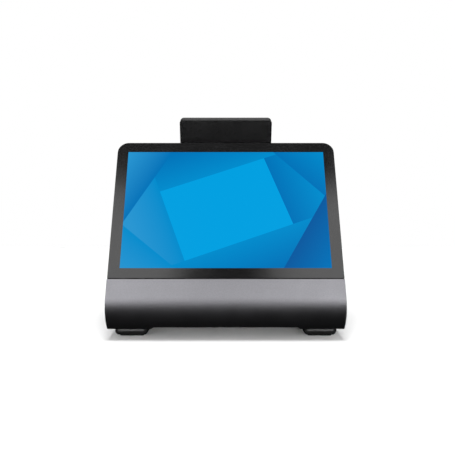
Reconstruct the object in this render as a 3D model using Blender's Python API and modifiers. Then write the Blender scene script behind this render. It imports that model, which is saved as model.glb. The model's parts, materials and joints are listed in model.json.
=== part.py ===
"""Countertop point-of-sale terminal: a wedge body with a ten-inch touchscreen over a rolled metal chin,
and a small customer display on a friction hinge behind it.

Metres, +Z up. The operator stands on the -Y side. The origin is the middle of the footprint, on the counter.
"""

from math import asin, cos, pi, radians, sin

import bmesh
import bpy
from mathutils import Matrix, Vector

# ---- Driving dimensions, in metres ----
BODY_WIDTH = 0.240
BODY_DEPTH = 0.160
PANEL_LEAN = radians(28)  # touchscreen, back from upright
REAR_LEAN = radians(18)  # rear face and customer display, forward from upright
GAP = 0.0003  # between pieces that touch
WALL = 0.0025  # moulded housings

FOOT_HEIGHT = 0.011  # counter to the underside of the body
PAD_HEIGHT = 0.0015
PAD_HALF = 0.0126
FOOT_TOP_HALF = 0.0169  # half widths of a foot: its upright band, the waist of its taper, its lower end
FOOT_WAIST_HALF = 0.0157
FOOT_LOW_HALF = 0.0131
FOOT_BAND_HEIGHT = 0.0060  # counter to the top of the taper
FOOT_WAIST_HEIGHT = 0.0040
FOOT_CORNER = 0.003
SEAM_HEIGHT = 0.024  # base tray to rear housing
CHANNEL_HALF_WIDTH = 0.075  # shallow air channel along the underside
CHANNEL_RISE = 0.002

CHIN_FLAT = 0.018  # straight part of the chin, in line with the glass
CHIN_RADIUS = 0.028
CHIN_AXIS_HEIGHT = 0.0328
CHIN_SHEET = 0.002

GLASS_WIDTH = 0.2394
GLASS_HEIGHT = 0.1588
GLASS_THICKNESS = 0.0018
CORNER_RADIUS = 0.012  # top corners of the panel
PANEL_FRAME_DEPTH = 0.012  # glass face to the back of the panel frame
LCD_WIDTH = 0.2290
LCD_HEIGHT = 0.1486
LCD_THICKNESS = 0.0040
LCD_MIDDLE = 0.0793  # centre of the picture, up the panel from the glass's lower edge

REAR_CORNER_RADIUS = 0.010
DOOR_WIDTH = 0.1503
DOOR_HEIGHT = 0.050  # from the hinge axis to the top edge
DOOR_AXIS_UP = 0.007  # hinge axis, up the rear face
DOOR_PIN_RADIUS = 0.0006
BAY_FRONT = 0.032  # the wall that the ports come through
BAY_SHEET = 0.0012
CABLE_NOTCH_HALF = 0.036
FINGER_NOTCH_RADIUS = 0.010
PORT_WALL = 0.003  # behind a connector's socket

HINGE_UP = 0.143  # customer display's hinge axis, up the rear face
HINGE_OUT = 0.013  # and out from it
BRACKET_SHEET = 0.003
BRACKET_HALF_WIDTH = 0.036
BRACKET_LOW = 0.110  # up the rear face
EAR_WIDTH = 0.004
WASHER_THICKNESS = 0.0007
WASHER_RADIUS = 0.004
HINGE_PIN_RADIUS = 0.0016
HINGE_RADIUS = 0.0045
BARREL_HALF_WIDTH = 0.025
CUSTOMER_WIDTH = 0.1052
CUSTOMER_BOTTOM = 0.006  # above the hinge axis
CUSTOMER_TOP = 0.070
CUSTOMER_THICKNESS = 0.013
CUSTOMER_CORNER = 0.0045
CUSTOMER_WALL = 0.0023
CUSTOMER_GLASS = 0.0014

BOARD_TOP = 0.031  # main board's component side
BOARD_THICKNESS = 0.0016
RUNNING_GAP = 0.00015  # bore to pin
KEY_LIP = 0.0012  # thickness of a key's flange, and how far it overlaps the wall's inside
SCREW_HOLE = 0.0016  # radii
SCREW_SHANK = 0.0013
SCREW_HEAD = 0.0028
BOSS_RADIUS = 0.0040

# ---- Places worked out from them ----
FRONT = -BODY_DEPTH / 2
REAR = BODY_DEPTH / 2
HALF_WIDTH = BODY_WIDTH / 2
CHIN_AXIS = (FRONT + CHIN_RADIUS, CHIN_AXIS_HEIGHT)
# Lower front edge of the glass, as (y, z)
PANEL_FOOT = (
    CHIN_AXIS[0] - CHIN_RADIUS * cos(PANEL_LEAN) + CHIN_FLAT * sin(PANEL_LEAN),
    CHIN_AXIS[1] + CHIN_RADIUS * sin(PANEL_LEAN) + CHIN_FLAT * cos(PANEL_LEAN),
)
# Lower edge of the leaning rear face, as (y, z)
REAR_FOOT = (REAR - 0.0005, SEAM_HEIGHT + GAP)
TRAY_FLOOR = FOOT_HEIGHT + CHANNEL_RISE + WALL
PORT_MOUTH = BAY_FRONT + BAY_SHEET + 0.0006  # connectors stand just proud of the bay's wall
HINGE_BORE = HINGE_PIN_RADIUS + RUNNING_GAP
EAR_START = BARREL_HALF_WIDTH + WASHER_THICKNESS + 2 * GAP  # inner face of a bracket ear
FAR = 0.3  # past every part of the body, for shapes that trim it

# Colour, roughness and metallic value of each finish
FINISHES = {
    "cover_glass": ((0.012, 0.012, 0.013), 0.08, 0.0),
    "picture": ((0.010, 0.360, 0.780), 0.35, 0.0),
    "chin_metal": ((0.300, 0.300, 0.320), 0.38, 0.85),
    "black_plastic": ((0.016, 0.016, 0.018), 0.45, 0.0),
    "rubber": ((0.012, 0.012, 0.012), 0.85, 0.0),
    "bare_steel": ((0.560, 0.570, 0.580), 0.32, 1.0),
    "aluminium": ((0.720, 0.730, 0.740), 0.30, 1.0),
    "circuit_board": ((0.020, 0.120, 0.055), 0.50, 0.0),
    "port_black": ((0.010, 0.010, 0.011), 0.55, 0.0),
    "flex_film": ((0.450, 0.240, 0.060), 0.40, 0.0),
    "screw_black": ((0.040, 0.040, 0.042), 0.35, 0.9),
}


# ---- Scene, frames and materials ----


def clear_scene():
    for obj in list(bpy.data.objects):
        bpy.data.objects.remove(obj, do_unlink=True)


def add_collection(name):
    made = bpy.data.collections.new(name)
    bpy.context.scene.collection.children.link(made)
    return made


def make_material(name):
    colour, roughness, metallic = FINISHES[name]
    material = bpy.data.materials.new(name)
    material.use_nodes = True
    shader = material.node_tree.nodes["Principled BSDF"]
    shader.inputs["Base Color"].default_value = (*colour, 1)
    shader.inputs["Roughness"].default_value = roughness
    shader.inputs["Metallic"].default_value = metallic
    material.diffuse_color = (*colour, 1)
    return material


def add_frame(name, location=(0, 0, 0), turn=(0, 0, 0), parent=None):
    """An empty that other objects are placed in."""
    empty = bpy.data.objects.new(name, None)
    PART.objects.link(empty)
    empty.empty_display_size = 0.01
    empty.parent = parent
    empty.location = location
    empty.rotation_euler = turn
    return empty


def add_object(name, mesh, finish, frame=None, at=(0, 0, 0)):
    obj = bpy.data.objects.new(name, mesh)
    PART.objects.link(obj)
    obj.parent = frame
    obj.location = at
    if finish:
        mesh.materials.clear()
        mesh.materials.append(MATERIALS[finish])
    return obj


# ---- Flat outlines, as lists of (x, y) ----


def arc(centre, radius, start, end, steps):
    """Points along an arc. Angles run anticlockwise from +x."""
    angles = [start + (end - start) * i / steps for i in range(steps + 1)]
    return [(centre[0] + radius * cos(a), centre[1] + radius * sin(a)) for a in angles]


def rounded_box(x0, x1, y0, y1, lower=0.0, upper=0.0, steps=5):
    """A rectangle with one radius for its lower corners and one for its upper ones."""
    corners = [(x0, y0, lower, 1, 1), (x1, y0, lower, -1, 1)]
    corners += [(x1, y1, upper, -1, -1), (x0, y1, upper, 1, -1)]
    points = []
    for i, (x, y, radius, inward_x, inward_y) in enumerate(corners):
        if not radius:
            points.append((x, y))
            continue
        start = pi + i * pi / 2
        middle = (x + inward_x * radius, y + inward_y * radius)
        points += arc(middle, radius, start, start + pi / 2, steps)
    return points


def circle(x, y, radius, steps=16):
    return arc((x, y), radius, 0, 2 * pi * (1 - 1 / steps), steps - 1)


def on_panel(depth, up):
    """(y, z) of the point this far behind the glass face and this far up it."""
    return (
        PANEL_FOOT[0] + up * sin(PANEL_LEAN) + depth * cos(PANEL_LEAN),
        PANEL_FOOT[1] + up * cos(PANEL_LEAN) - depth * sin(PANEL_LEAN),
    )


def on_rear(up, out):
    """(y, z) of the point this far up the rear face and this far out from it."""
    return (
        REAR_FOOT[0] - up * sin(REAR_LEAN) + out * cos(REAR_LEAN),
        REAR_FOOT[1] + up * cos(REAR_LEAN) + out * sin(REAR_LEAN),
    )


def chin_line(inset, low, high=None, steps=10):
    """(y, z) points up the chin's side view, moved in by inset, from height low to high or to its flat."""
    radius = CHIN_RADIUS - inset
    start = asin((low - CHIN_AXIS[1]) / radius)
    end = PANEL_LEAN if high is None else asin((high - CHIN_AXIS[1]) / radius)
    angles = [start + (end - start) * i / steps for i in range(steps + 1)]
    return [(CHIN_AXIS[0] - radius * cos(a), CHIN_AXIS[1] + radius * sin(a)) for a in angles]


# ---- Solids ----


def plate_mesh(loops, low, high):
    """A flat outline, with any holes after it, as a solid from z = low to z = high."""
    curve = bpy.data.curves.new("outline", "CURVE")
    curve.dimensions = "2D"
    curve.fill_mode = "BOTH"
    curve.extrude = (high - low) / 2
    for loop in loops:
        spline = curve.splines.new("POLY")
        spline.points.add(len(loop) - 1)
        for point, (x, y) in zip(spline.points, loop):
            point.co = (x, y, 0, 1)
        spline.use_cyclic_u = True
    guide = bpy.data.objects.new("outline", curve)
    bpy.context.scene.collection.objects.link(guide)
    graph = bpy.context.evaluated_depsgraph_get()
    mesh = bpy.data.meshes.new_from_object(guide.evaluated_get(graph))
    bpy.data.objects.remove(guide)
    shape = bmesh.new()
    shape.from_mesh(mesh)
    bmesh.ops.remove_doubles(shape, verts=shape.verts, dist=1e-6)
    bmesh.ops.translate(shape, verts=shape.verts, vec=(0, 0, (low + high) / 2))
    bmesh.ops.recalc_face_normals(shape, faces=shape.faces)
    shape.to_mesh(mesh)
    shape.free()
    return mesh


def plate(name, loops, low, high, finish=None, frame=None, at=(0, 0, 0)):
    return add_object(name, plate_mesh(loops, low, high), finish, frame, at)


def box_mesh(*spans):
    """One or more boxes, each given as (x0, x1, y0, y1, z0, z1)."""
    shape = bmesh.new()
    for x0, x1, y0, y1, z0, z1 in spans:
        size = Matrix.Diagonal((x1 - x0, y1 - y0, z1 - z0, 1))
        middle = Matrix.Translation(((x0 + x1) / 2, (y0 + y1) / 2, (z0 + z1) / 2))
        bmesh.ops.create_cube(shape, size=1, matrix=middle @ size)
    mesh = bpy.data.meshes.new("boxes")
    shape.to_mesh(mesh)
    shape.free()
    return mesh


def box(name, span, finish=None, frame=None, at=(0, 0, 0)):
    return add_object(name, box_mesh(span), finish, frame, at)


def rod_mesh(rods, steps=16):
    """One or more cylinders, each given as (start, end, radius)."""
    shape = bmesh.new()
    for start, end, radius in rods:
        along = Vector(end) - Vector(start)
        turn = along.to_track_quat("Z", "Y").to_matrix().to_4x4()
        place = Matrix.Translation((Vector(start) + Vector(end)) / 2) @ turn
        size = {"segments": steps, "radius1": radius, "radius2": radius, "depth": along.length}
        bmesh.ops.create_cone(shape, cap_ends=True, matrix=place, **size)
    mesh = bpy.data.meshes.new("rods")
    shape.to_mesh(mesh)
    shape.free()
    return mesh


def turned(name, profile, finish, frame=None, at=(0, 0, 0), turn=(0, 0, 0), steps=16):
    """A solid of revolution about z. The profile is (radius, z) points down its outer side."""
    mesh = bpy.data.meshes.new(name)
    edges = [(i, i + 1) for i in range(len(profile) - 1)]
    mesh.from_pydata([(radius, 0, z) for radius, z in profile], edges, [])
    obj = add_object(name, mesh, finish, frame, at)
    obj.rotation_euler = turn
    screw = obj.modifiers.new("turn", "SCREW")
    screw.steps = steps
    screw.render_steps = steps
    screw.use_merge_vertices = True
    screw.merge_threshold = 0.00001
    return obj


def tube(name, points, radius, finish, frame=None):
    """A round cable through the points."""
    curve = bpy.data.curves.new(name, "CURVE")
    curve.dimensions = "3D"
    curve.bevel_depth = radius
    curve.bevel_resolution = 2
    curve.use_fill_caps = True
    spline = curve.splines.new("POLY")
    spline.points.add(len(points) - 1)
    for point, place in zip(spline.points, points):
        point.co = (*place, 1)
    return add_object(name, curve, finish, frame)


def combine(obj, operation, *tools):
    """Adds one Boolean modifier for each tool, and puts the tool out of sight."""
    for tool in tools:
        if tool.name in PART.objects:
            PART.objects.unlink(tool)
            CUTTERS.objects.link(tool)
        tool.hide_render = True
        tool.display_type = "WIRE"
        modifier = obj.modifiers.new(f"{operation.lower()} {tool.name}", "BOOLEAN")
        modifier.operation = operation
        modifier.object = tool
    return obj


def cut(obj, *tools):
    return combine(obj, "DIFFERENCE", *tools)


def trim(obj, *tools):
    return combine(obj, "INTERSECT", *tools)


def join(obj, *tools):
    return combine(obj, "UNION", *tools)


def bevel(obj, width, segments=1):
    """Rounds the object's sharp edges."""
    modifier = obj.modifiers.new("bevel", "BEVEL")
    modifier.width = width
    modifier.segments = segments
    modifier.limit_method = "ANGLE"
    modifier.angle_limit = radians(50)
    return obj


# ---- Body envelope, used to trim the housings ----


def panel_envelope(inset):
    """The panel's front view with its rounded top corners, carried back through the body."""
    side = HALF_WIDTH - inset
    loop = rounded_box(-side, side, -FAR, GLASS_HEIGHT - inset, upper=CORNER_RADIUS - inset)
    return plate("panel envelope", [loop], -FAR, FAR / 3, frame=PANEL)


def rear_envelope(inset):
    """The body's plan with its rounded rear corners, carried up the rear face's slope."""
    side = HALF_WIDTH - inset
    loop = rounded_box(-side, side, -FAR, -inset, upper=REAR_CORNER_RADIUS - inset)
    return plate("rear envelope", [loop], -FAR, FAR, frame=REAR_RISE)


# ---- Touchscreen panel ----


def make_front_glass():
    """Cover glass with square lower corners, where it meets the chin."""
    side = GLASS_WIDTH / 2
    loop = rounded_box(-side, side, 0, GLASS_HEIGHT, upper=CORNER_RADIUS, steps=8)
    plate("front_glass", [loop], -GLASS_THICKNESS, 0, "cover_glass", PANEL)


def make_panel_frame():
    """Mid-frame that the glass is bonded to, open in the middle for the picture module."""
    back = -PANEL_FRAME_DEPTH + GAP
    front = -GLASS_THICKNESS - GAP
    slack = 0.001
    side = LCD_WIDTH / 2 + slack
    half = LCD_HEIGHT / 2 + slack
    outer = rounded_box(-HALF_WIDTH, HALF_WIDTH, GAP, GLASS_HEIGHT, upper=CORNER_RADIUS, steps=8)
    opening = rounded_box(-side, side, LCD_MIDDLE - half, LCD_MIDDLE + half)
    plate("panel_frame", [outer, opening], back, front, "black_plastic", PANEL)


def make_lcd():
    """Picture module, its steel back plate with an edge slot, and the touch controller board behind."""
    side, half = LCD_WIDTH / 2, LCD_HEIGHT / 2
    front = -GLASS_THICKNESS - 2 * GAP
    back = front - LCD_THICKNESS
    module = rounded_box(-side, side, LCD_MIDDLE - half, LCD_MIDDLE + half)
    plate("lcd_panel", [module], back, front, "picture", PANEL)

    steel, board_thickness, film = 0.001, 0.0012, 0.0008
    sheet_front = back - GAP
    sheet_back = sheet_front - steel
    edge = rounded_box(-side, side, LCD_MIDDLE - half, LCD_MIDDLE + half, 0.003, 0.003, 3)
    flex_slot = rounded_box(-0.016, 0.016, 0.012, 0.018)
    plate("lcd_back_plate", [edge, flex_slot], sheet_back, sheet_front, "bare_steel", PANEL)

    board = rounded_box(-0.100, -0.030, 0.012, 0.034, 0.001, 0.001, 2)
    behind = sheet_back - GAP
    plate("touch_board", [board], behind - board_thickness, behind, "circuit_board", PANEL)
    for side_name, x in (("left", -0.075), ("right", 0.075)):
        strip = rounded_box(x - 0.0225, x + 0.0225, 0.138, 0.147)
        plate(f"antenna_{side_name}", [strip], behind - film, behind, "flex_film", PANEL)


# ---- Chin, base tray and rear housing ----


def make_channel_cutter():
    """The shallow channel along the underside."""
    edge = CHANNEL_HALF_WIDTH
    top = FOOT_HEIGHT + CHANNEL_RISE
    slope = CHANNEL_RISE
    low = FOOT_HEIGHT - slope
    loop = [(-edge - slope, low), (edge + slope, low), (edge - slope, top), (slope - edge, top)]
    return plate("channel cutter", [loop], -FAR / 2, FAR / 2, frame=FRONT_VIEW)


def make_chin_cover(channel):
    """Sheet-metal chin: flat in line with the glass, then rolled under the front of the body."""
    outer = chin_line(0, FOOT_HEIGHT, steps=16) + [on_panel(0, -GAP)]
    inner = chin_line(CHIN_SHEET, FOOT_HEIGHT, steps=16) + [on_panel(CHIN_SHEET, -GAP)]
    chin = plate("chin_cover", [outer + inner[::-1]], -HALF_WIDTH, HALF_WIDTH, "chin_metal", SIDE_VIEW)
    cut(chin, channel)


def make_base_tray(channel):
    """Lower tray with board posts, speaker slots and screw seats."""
    inset = CHIN_SHEET + GAP
    side_outline = chin_line(inset, FOOT_HEIGHT, SEAM_HEIGHT, 6) + [(FAR, SEAM_HEIGHT), (FAR, FOOT_HEIGHT)]
    tray = plate("base_tray", [side_outline], -FAR, FAR, "black_plastic", SIDE_VIEW)
    plan = rounded_box(-HALF_WIDTH, HALF_WIDTH, -FAR, REAR, upper=REAR_CORNER_RADIUS)
    trim(tray, plate("tray plan", [plan], -FAR, FAR))

    above = SEAM_HEIGHT + WALL
    inside = chin_line(inset + WALL, TRAY_FLOOR, above, 5) + [(FAR, above), (FAR, TRAY_FLOOR)]
    cavity = plate("tray cavity", [inside], -FAR, FAR, frame=SIDE_VIEW)
    side = HALF_WIDTH - WALL
    plan = rounded_box(-side, side, -FAR, REAR - WALL, upper=REAR_CORNER_RADIUS - WALL)
    trim(cavity, plate("tray cavity plan", [plan], -FAR, FAR))
    cut(tray, cavity, channel)

    post_top = BOARD_TOP - BOARD_THICKNESS - GAP
    post_radius = 0.0035
    posts = [((x, y, TRAY_FLOOR - WALL / 2), (x, y, post_top), post_radius) for x, y in BOARD_POSTS]
    join(tray, add_object("board posts", rod_mesh(posts, 10), None))

    slots = []
    for hand in (-1, 1):
        for i in range(SPEAKER_SLOT_COUNT):
            x = hand * (SPEAKER_SLOT_START + i * SPEAKER_SLOT_PITCH)
            slots.append((x - 0.001, x + 0.001, -0.018, 0.012, 0, TRAY_FLOOR + WALL))
    seat_radius = SCREW_HEAD + 2 * GAP
    seats = [((x, y, 0), (x, y, BASE_SCREW_SEAT), seat_radius) for x, y in BASE_SCREWS]
    shanks = [((x, y, 0), (x, y, TRAY_FLOOR + WALL), SCREW_SHANK + 0.0005) for x, y in BASE_SCREWS]
    cut(tray, add_object("speaker slots", box_mesh(*slots), None))
    cut(tray, add_object("screw seats", rod_mesh(seats, 12), None))
    cut(tray, add_object("screw holes", rod_mesh(shanks, 12), None))


def make_rear_housing():
    """Wedge shell from the back of the panel to the leaning rear face, open in front and below."""
    inset = CHIN_SHEET + GAP
    low = SEAM_HEIGHT + GAP
    over = on_panel(0.06, GLASS_HEIGHT)
    outline = chin_line(inset, low, steps=8) + [
        on_panel(inset, -GAP),
        on_panel(PANEL_FRAME_DEPTH, -GAP),
        on_panel(PANEL_FRAME_DEPTH, GLASS_HEIGHT + WALL),
        (over[0], over[1] + WALL),
        (FAR, over[1]),
        (FAR, low),
    ]
    housing = plate("rear_housing", [outline], -FAR, FAR, "black_plastic", SIDE_VIEW)
    trim(housing, panel_envelope(0), rear_envelope(0))

    ledge = PANEL_FRAME_DEPTH + WALL
    rim, lip = 0.004, 0.005  # the frame rests on a rim this wide, whose front is this far behind the glass
    inside = chin_line(inset + WALL, low - WALL, steps=8) + [
        on_panel(inset + WALL, -WALL - GAP),
        on_panel(ledge, -WALL - GAP),
        on_panel(ledge, rim),
        on_panel(lip, rim),
        on_panel(lip, GLASS_HEIGHT - rim),
        on_panel(ledge, GLASS_HEIGHT - rim),
        on_panel(ledge, GLASS_HEIGHT + WALL),
        (over[0], over[1] + WALL),
        (FAR, over[1]),
        (FAR, low - WALL),
    ]
    cavity = plate("housing cavity", [inside], -FAR, FAR, frame=SIDE_VIEW)
    trim(cavity, panel_envelope(WALL), rear_envelope(WALL))
    cut(housing, cavity)
    add_screw_bosses(housing)
    cut_rear_openings(housing)
    cut_side_openings(housing)


def add_screw_bosses(housing):
    """Bosses down the side walls, which the base screws run into."""
    low, high = TRAY_FLOOR + GAP, SEAM_HEIGHT + 0.010
    bosses = [((x, y, low), (x, y, high), BOSS_RADIUS) for x, y in BASE_SCREWS]
    ribs = []
    for x, y in BASE_SCREWS:
        wall = HALF_WIDTH - WALL / 2
        x0, x1 = (x, wall) if x > 0 else (-wall, x)
        half = BOSS_RADIUS / 2
        ribs.append((x0, x1, y - half, y + half, SEAM_HEIGHT + 2 * GAP, high - 0.001))
    join(housing, add_object("screw bosses", rod_mesh(bosses, 14), None))
    join(housing, add_object("boss ribs", box_mesh(*ribs), None))
    holes = [((x, y, low - 0.001), (x, y, low + 0.009), SCREW_HOLE) for x, y in BASE_SCREWS]
    cut(housing, add_object("boss holes", rod_mesh(holes, 12), None))


def cut_rear_openings(housing):
    """Doorway, door pin holes, vents, and the holes behind the customer display's bracket."""
    play = 0.00035
    side = DOOR_WIDTH / 2 + play
    low = DOOR_AXIS_UP - WALL / 2 - play
    high = DOOR_AXIS_UP + DOOR_HEIGHT + play
    cut(housing, box("doorway", (-side, side, low, high, -WALL * 2, WALL * 2), frame=REAR_FACE))

    reach = DOOR_WIDTH / 2 + 0.004
    axis = (DOOR_AXIS_UP, WALL / 2)
    holes = rod_mesh([((-reach, *axis), (reach, *axis), DOOR_PIN_RADIUS + RUNNING_GAP)], 10)
    cut(housing, add_object("door pin holes", holes, None, REAR_FACE))

    vents = []
    for i in range(VENT_COUNT):
        up = VENT_START + i * VENT_PITCH
        for x0, x1 in ((-VENT_END, -VENT_RIB_HALF), (VENT_RIB_HALF, VENT_END)):
            vents.append((x0, x1, up, up + VENT_SLOT, -WALL, WALL * 2))
    cut(housing, add_object("vents", box_mesh(*vents), None, REAR_FACE))

    holes = [((x, up, -WALL), (x, up, WALL * 2), SCREW_HOLE) for x, up in BRACKET_SCREWS]
    holes.append(((0, CABLE_HOLE_UP, -WALL), (0, CABLE_HOLE_UP, WALL * 2), CABLE_HOLE_RADIUS))
    cut(housing, add_object("bracket holes", rod_mesh(holes, 12), None, REAR_FACE))


def cut_side_openings(housing):
    """Button holes in the right side and the lock slot in the left."""
    start, end = HALF_WIDTH - 2 * WALL, HALF_WIDTH + WALL
    power = rod_mesh([((start, *POWER_BUTTON), (end, *POWER_BUTTON), POWER_RADIUS + GAP)], 20)
    cut(housing, add_object("power hole", power, None))
    for name, centre in VOLUME_BUTTONS.items():
        loop = key_loop(GAP)
        cut(housing, plate(f"{name} hole", [loop], start, end, frame=SIDE_VIEW, at=(*centre, 0)))
    y, z = LOCK_SLOT
    half_length, half_width = LOCK_HALF
    slot = (-end, -start, y - half_length, y + half_length, z - half_width, z + half_width)
    cut(housing, box("lock slot", slot))


# ---- Feet, ballast and screws ----


def make_foot_block(name, at):
    """An upright band over a taper that steepens downwards, as a loft through rounded squares."""
    levels = [
        (FOOT_LOW_HALF, PAD_HEIGHT + GAP),
        (FOOT_WAIST_HALF, FOOT_WAIST_HEIGHT),
        (FOOT_TOP_HALF, FOOT_BAND_HEIGHT),
        (FOOT_TOP_HALF, FOOT_HEIGHT - GAP),
    ]
    corner = FOOT_CORNER
    shape = bmesh.new()
    rings = []
    for half, height in levels:
        square = rounded_box(-half, half, -half, half, corner, corner, 3)
        rings.append([shape.verts.new((x, y, height)) for x, y in square])
    shape.faces.new(rings[0])
    shape.faces.new(rings[-1])
    for lower, upper in zip(rings, rings[1:]):
        for i in range(len(lower)):
            j = (i + 1) % len(lower)
            shape.faces.new((lower[i], lower[j], upper[j], upper[i]))
    bmesh.ops.recalc_face_normals(shape, faces=shape.faces)
    mesh = bpy.data.meshes.new(name)
    shape.to_mesh(mesh)
    shape.free()
    add_object(name, mesh, "black_plastic", at=at)


def make_feet():
    """Four feet, each with a rubber pad under it."""
    for name, x, y in FEET:
        make_foot_block(f"foot_{name}", (x, y, 0))
        pad = rounded_box(-PAD_HALF, PAD_HALF, -PAD_HALF, PAD_HALF, 0.002, 0.002, 3)
        plate(f"foot_pad_{name}", [pad], 0, PAD_HEIGHT, "rubber", at=(x, y, 0))


def make_base_weight():
    loop = rounded_box(-0.070, 0.070, -0.058, -0.034, 0.003, 0.003, 3)
    plate("base_weight", [loop], TRAY_FLOOR + GAP, TRAY_FLOOR + 0.0055, "bare_steel")


def make_screw(name, frame, at, turn, length):
    """Pan-head screw. The head's underside is at the origin, the shank runs down -z."""
    profile = [(0, 0.0016), (0.0019, 0.0014), (SCREW_HEAD, 0.0006), (SCREW_HEAD, 0)]
    profile += [(SCREW_SHANK, 0), (SCREW_SHANK, -length), (0, -length)]
    turned(name, profile, "screw_black", frame, at, turn, 12)


def make_screws():
    for i, (x, y) in enumerate(BASE_SCREWS):
        make_screw(f"base_screw_{i + 1}", None, (x, y, BASE_SCREW_SEAT - GAP), (pi, 0, 0), 0.0085)
    for i, (x, up) in enumerate(BRACKET_SCREWS):
        make_screw(f"bracket_screw_{i + 1}", REAR_FACE, (x, up, -BRACKET_SHEET - GAP), (pi, 0, 0), 0.0075)


# ---- Electronics ----


def make_main_board():
    outline = rounded_box(-0.073, 0.073, -0.030, 0.0315, 0.003, 0.001, 3)
    holes = [circle(x, y, SCREW_HOLE, 10) for x, y in BOARD_POSTS]
    plate("main_board", [outline, *holes], BOARD_TOP - BOARD_THICKNESS, BOARD_TOP, "circuit_board")


def make_heatsink():
    """Finned block: its end view is a comb."""
    fins, pitch, thick = 8, 0.0065, 0.0016
    height, root = 0.012, 0.003
    width = pitch * (fins - 1) + thick
    comb = [(0, 0), (width, 0)]
    for i in reversed(range(fins)):
        x = i * pitch
        comb += [(x + thick, height), (x, height)]
        if i:
            comb += [(x, root), (x - pitch + thick, root)]
    low = BOARD_TOP + GAP
    plate("heatsink", [comb], -0.012, 0.016, "aluminium", FRONT_VIEW, at=(-0.055, low, 0))


def make_port_bay():
    """Folded steel box, open at the rear, that the ports come through."""
    low, high = BAY_LOW, BAY_HIGH
    rear_low = on_rear((low - REAR_FOOT[1]) / cos(REAR_LEAN), -WALL - GAP)[0]
    rear_high = on_rear((high - REAR_FOOT[1]) / cos(REAR_LEAN), -WALL - GAP)[0]
    outer = [(BAY_FRONT, low), (rear_low, low), (rear_high, high), (BAY_FRONT, high)]
    side = BAY_HALF_WIDTH
    bay = plate("port_bay", [outer], -side, side, "bare_steel", SIDE_VIEW)
    side -= BAY_SHEET
    inside = (-side, side, BAY_FRONT + BAY_SHEET, FAR, low + BAY_SHEET, high - BAY_SHEET)
    cut(bay, box("bay inside", inside))
    windows = []
    for _, x, width, height, _ in PORTS:
        half = width / 2 + GAP
        top = BOARD_TOP + height + 2 * GAP
        windows.append((x - half, x + half, FRONT, BAY_FRONT + 2 * BAY_SHEET, BOARD_TOP, top))
    cut(bay, add_object("port windows", box_mesh(*windows), None))


def make_port(name, x, width, height, length, finish, sockets, tongues=()):
    """A connector on the board's rear edge. Sockets and tongues are (x0, x1, z0, z1) in its rear face."""
    low = BOARD_TOP + GAP
    mouth = PORT_MOUTH
    body = box(name, (x - width / 2, x + width / 2, mouth - length, mouth, low, low + height), finish)
    start = mouth - length
    back = start + PORT_WALL
    bores = [(x + x0, x + x1, back, mouth + WALL, low + z0, low + z1) for x0, x1, z0, z1 in sockets]
    cut(body, add_object(f"{name} socket", box_mesh(*bores), None))
    for i, (x0, x1, z0, z1) in enumerate(tongues):
        blade = (x + x0, x + x1, start + 0.001, mouth - 0.002, low + z0, low + z1)
        join(body, box(f"{name} tongue {i}", blade))
    return body


def make_ports():
    for name, x, width, height, length in PORTS:
        if name == "ethernet_jack":
            make_port(name, x, width, height, length, "bare_steel", [(-0.0059, 0.0059, 0.002, 0.0102)])
        elif name == "drawer_jack":
            make_port(name, x, width, height, length, "port_black", [(-0.0049, 0.0049, 0.0022, 0.009)])
        elif name == "usb_c_port":
            make_port(
                name, x, width, height, length, "bare_steel",
                [(-0.0041, 0.0041, 0.0004, 0.0029)], [(-0.0033, 0.0033, 0.0013, 0.002)],
            )
        elif name.startswith("usb_stack"):
            sockets = [(-0.00625, 0.00625, z, z + 0.0051) for z in (0.0013, 0.0092)]
            tongues = [(-0.0055, 0.0055, z, z + 0.0018) for z in (0.0041, 0.0120)]
            make_port(name, x, width, height, length, "bare_steel", sockets, tongues)
        else:
            make_dc_jack(name, x, width, height, length)


def make_dc_jack(name, x, width, height, length):
    """Round power socket with a centre pin."""
    low = BOARD_TOP + GAP
    mouth = PORT_MOUTH
    middle = low + height / 2
    body = box(name, (x - width / 2, x + width / 2, mouth - length, mouth, low, low + height), "port_black")
    back = mouth - length + PORT_WALL
    bore = [((x, back, middle), (x, mouth + WALL, middle), 0.0032)]
    pin = [((x, back - PORT_WALL / 2, middle), (x, mouth - 0.001, middle), 0.0010)]
    cut(body, add_object(f"{name} bore", rod_mesh(bore, 20), None))
    join(body, add_object(f"{name} pin", rod_mesh(pin, 10), None))


def make_speakers():
    for name, x in (("left", -0.093), ("right", 0.093)):
        loop = rounded_box(x - 0.015, x + 0.015, -0.024, 0.018, 0.006, 0.006, 4)
        plate(f"speaker_{name}", [loop], TRAY_FLOOR + GAP, TRAY_FLOOR + 0.0095, "port_black")


def make_flex():
    """Flat ribbon from the picture module's slot down to the main board."""
    path = [on_panel(0.0068, 0.015), on_panel(0.016, 0.0150), on_panel(0.021, 0.012), (-0.034, 0.050)]
    path += [(-0.031, 0.038), (-0.027, 0.0325), (-0.020, 0.0318)]
    curve = bpy.data.curves.new("lcd_flex", "CURVE")
    curve.dimensions = "3D"
    curve.extrude = 0.012
    spline = curve.splines.new("POLY")
    spline.points.add(len(path) - 1)
    for point, (y, z) in zip(spline.points, path):
        point.co = (y, z, 0, 1)
    ribbon = add_object("lcd_flex", curve, "flex_film", SIDE_VIEW)
    sheet = ribbon.modifiers.new("film", "SOLIDIFY")
    sheet.thickness = 0.0003
    sheet.offset = 0
    return ribbon


def make_customer_cable():
    """Lead from the main board up to the grommet hole behind the customer display's bracket."""
    end = on_rear(CABLE_HOLE_UP, -WALL - 0.001)
    path = [(0.020, 0.005, BOARD_TOP + 0.002), (0.020, 0.006, 0.045), (0.018, 0.012, 0.070)]
    path += [(0.013, 0.017, 0.095), (0.008, 0.019, 0.120), (0.003, 0.022, 0.138)]
    path += [(0, end[0] - 0.006, end[1] - 0.004), (0, *end)]
    tube("customer_display_cable", path, 0.0016, "port_black")


# ---- Buttons and lock ----


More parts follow.
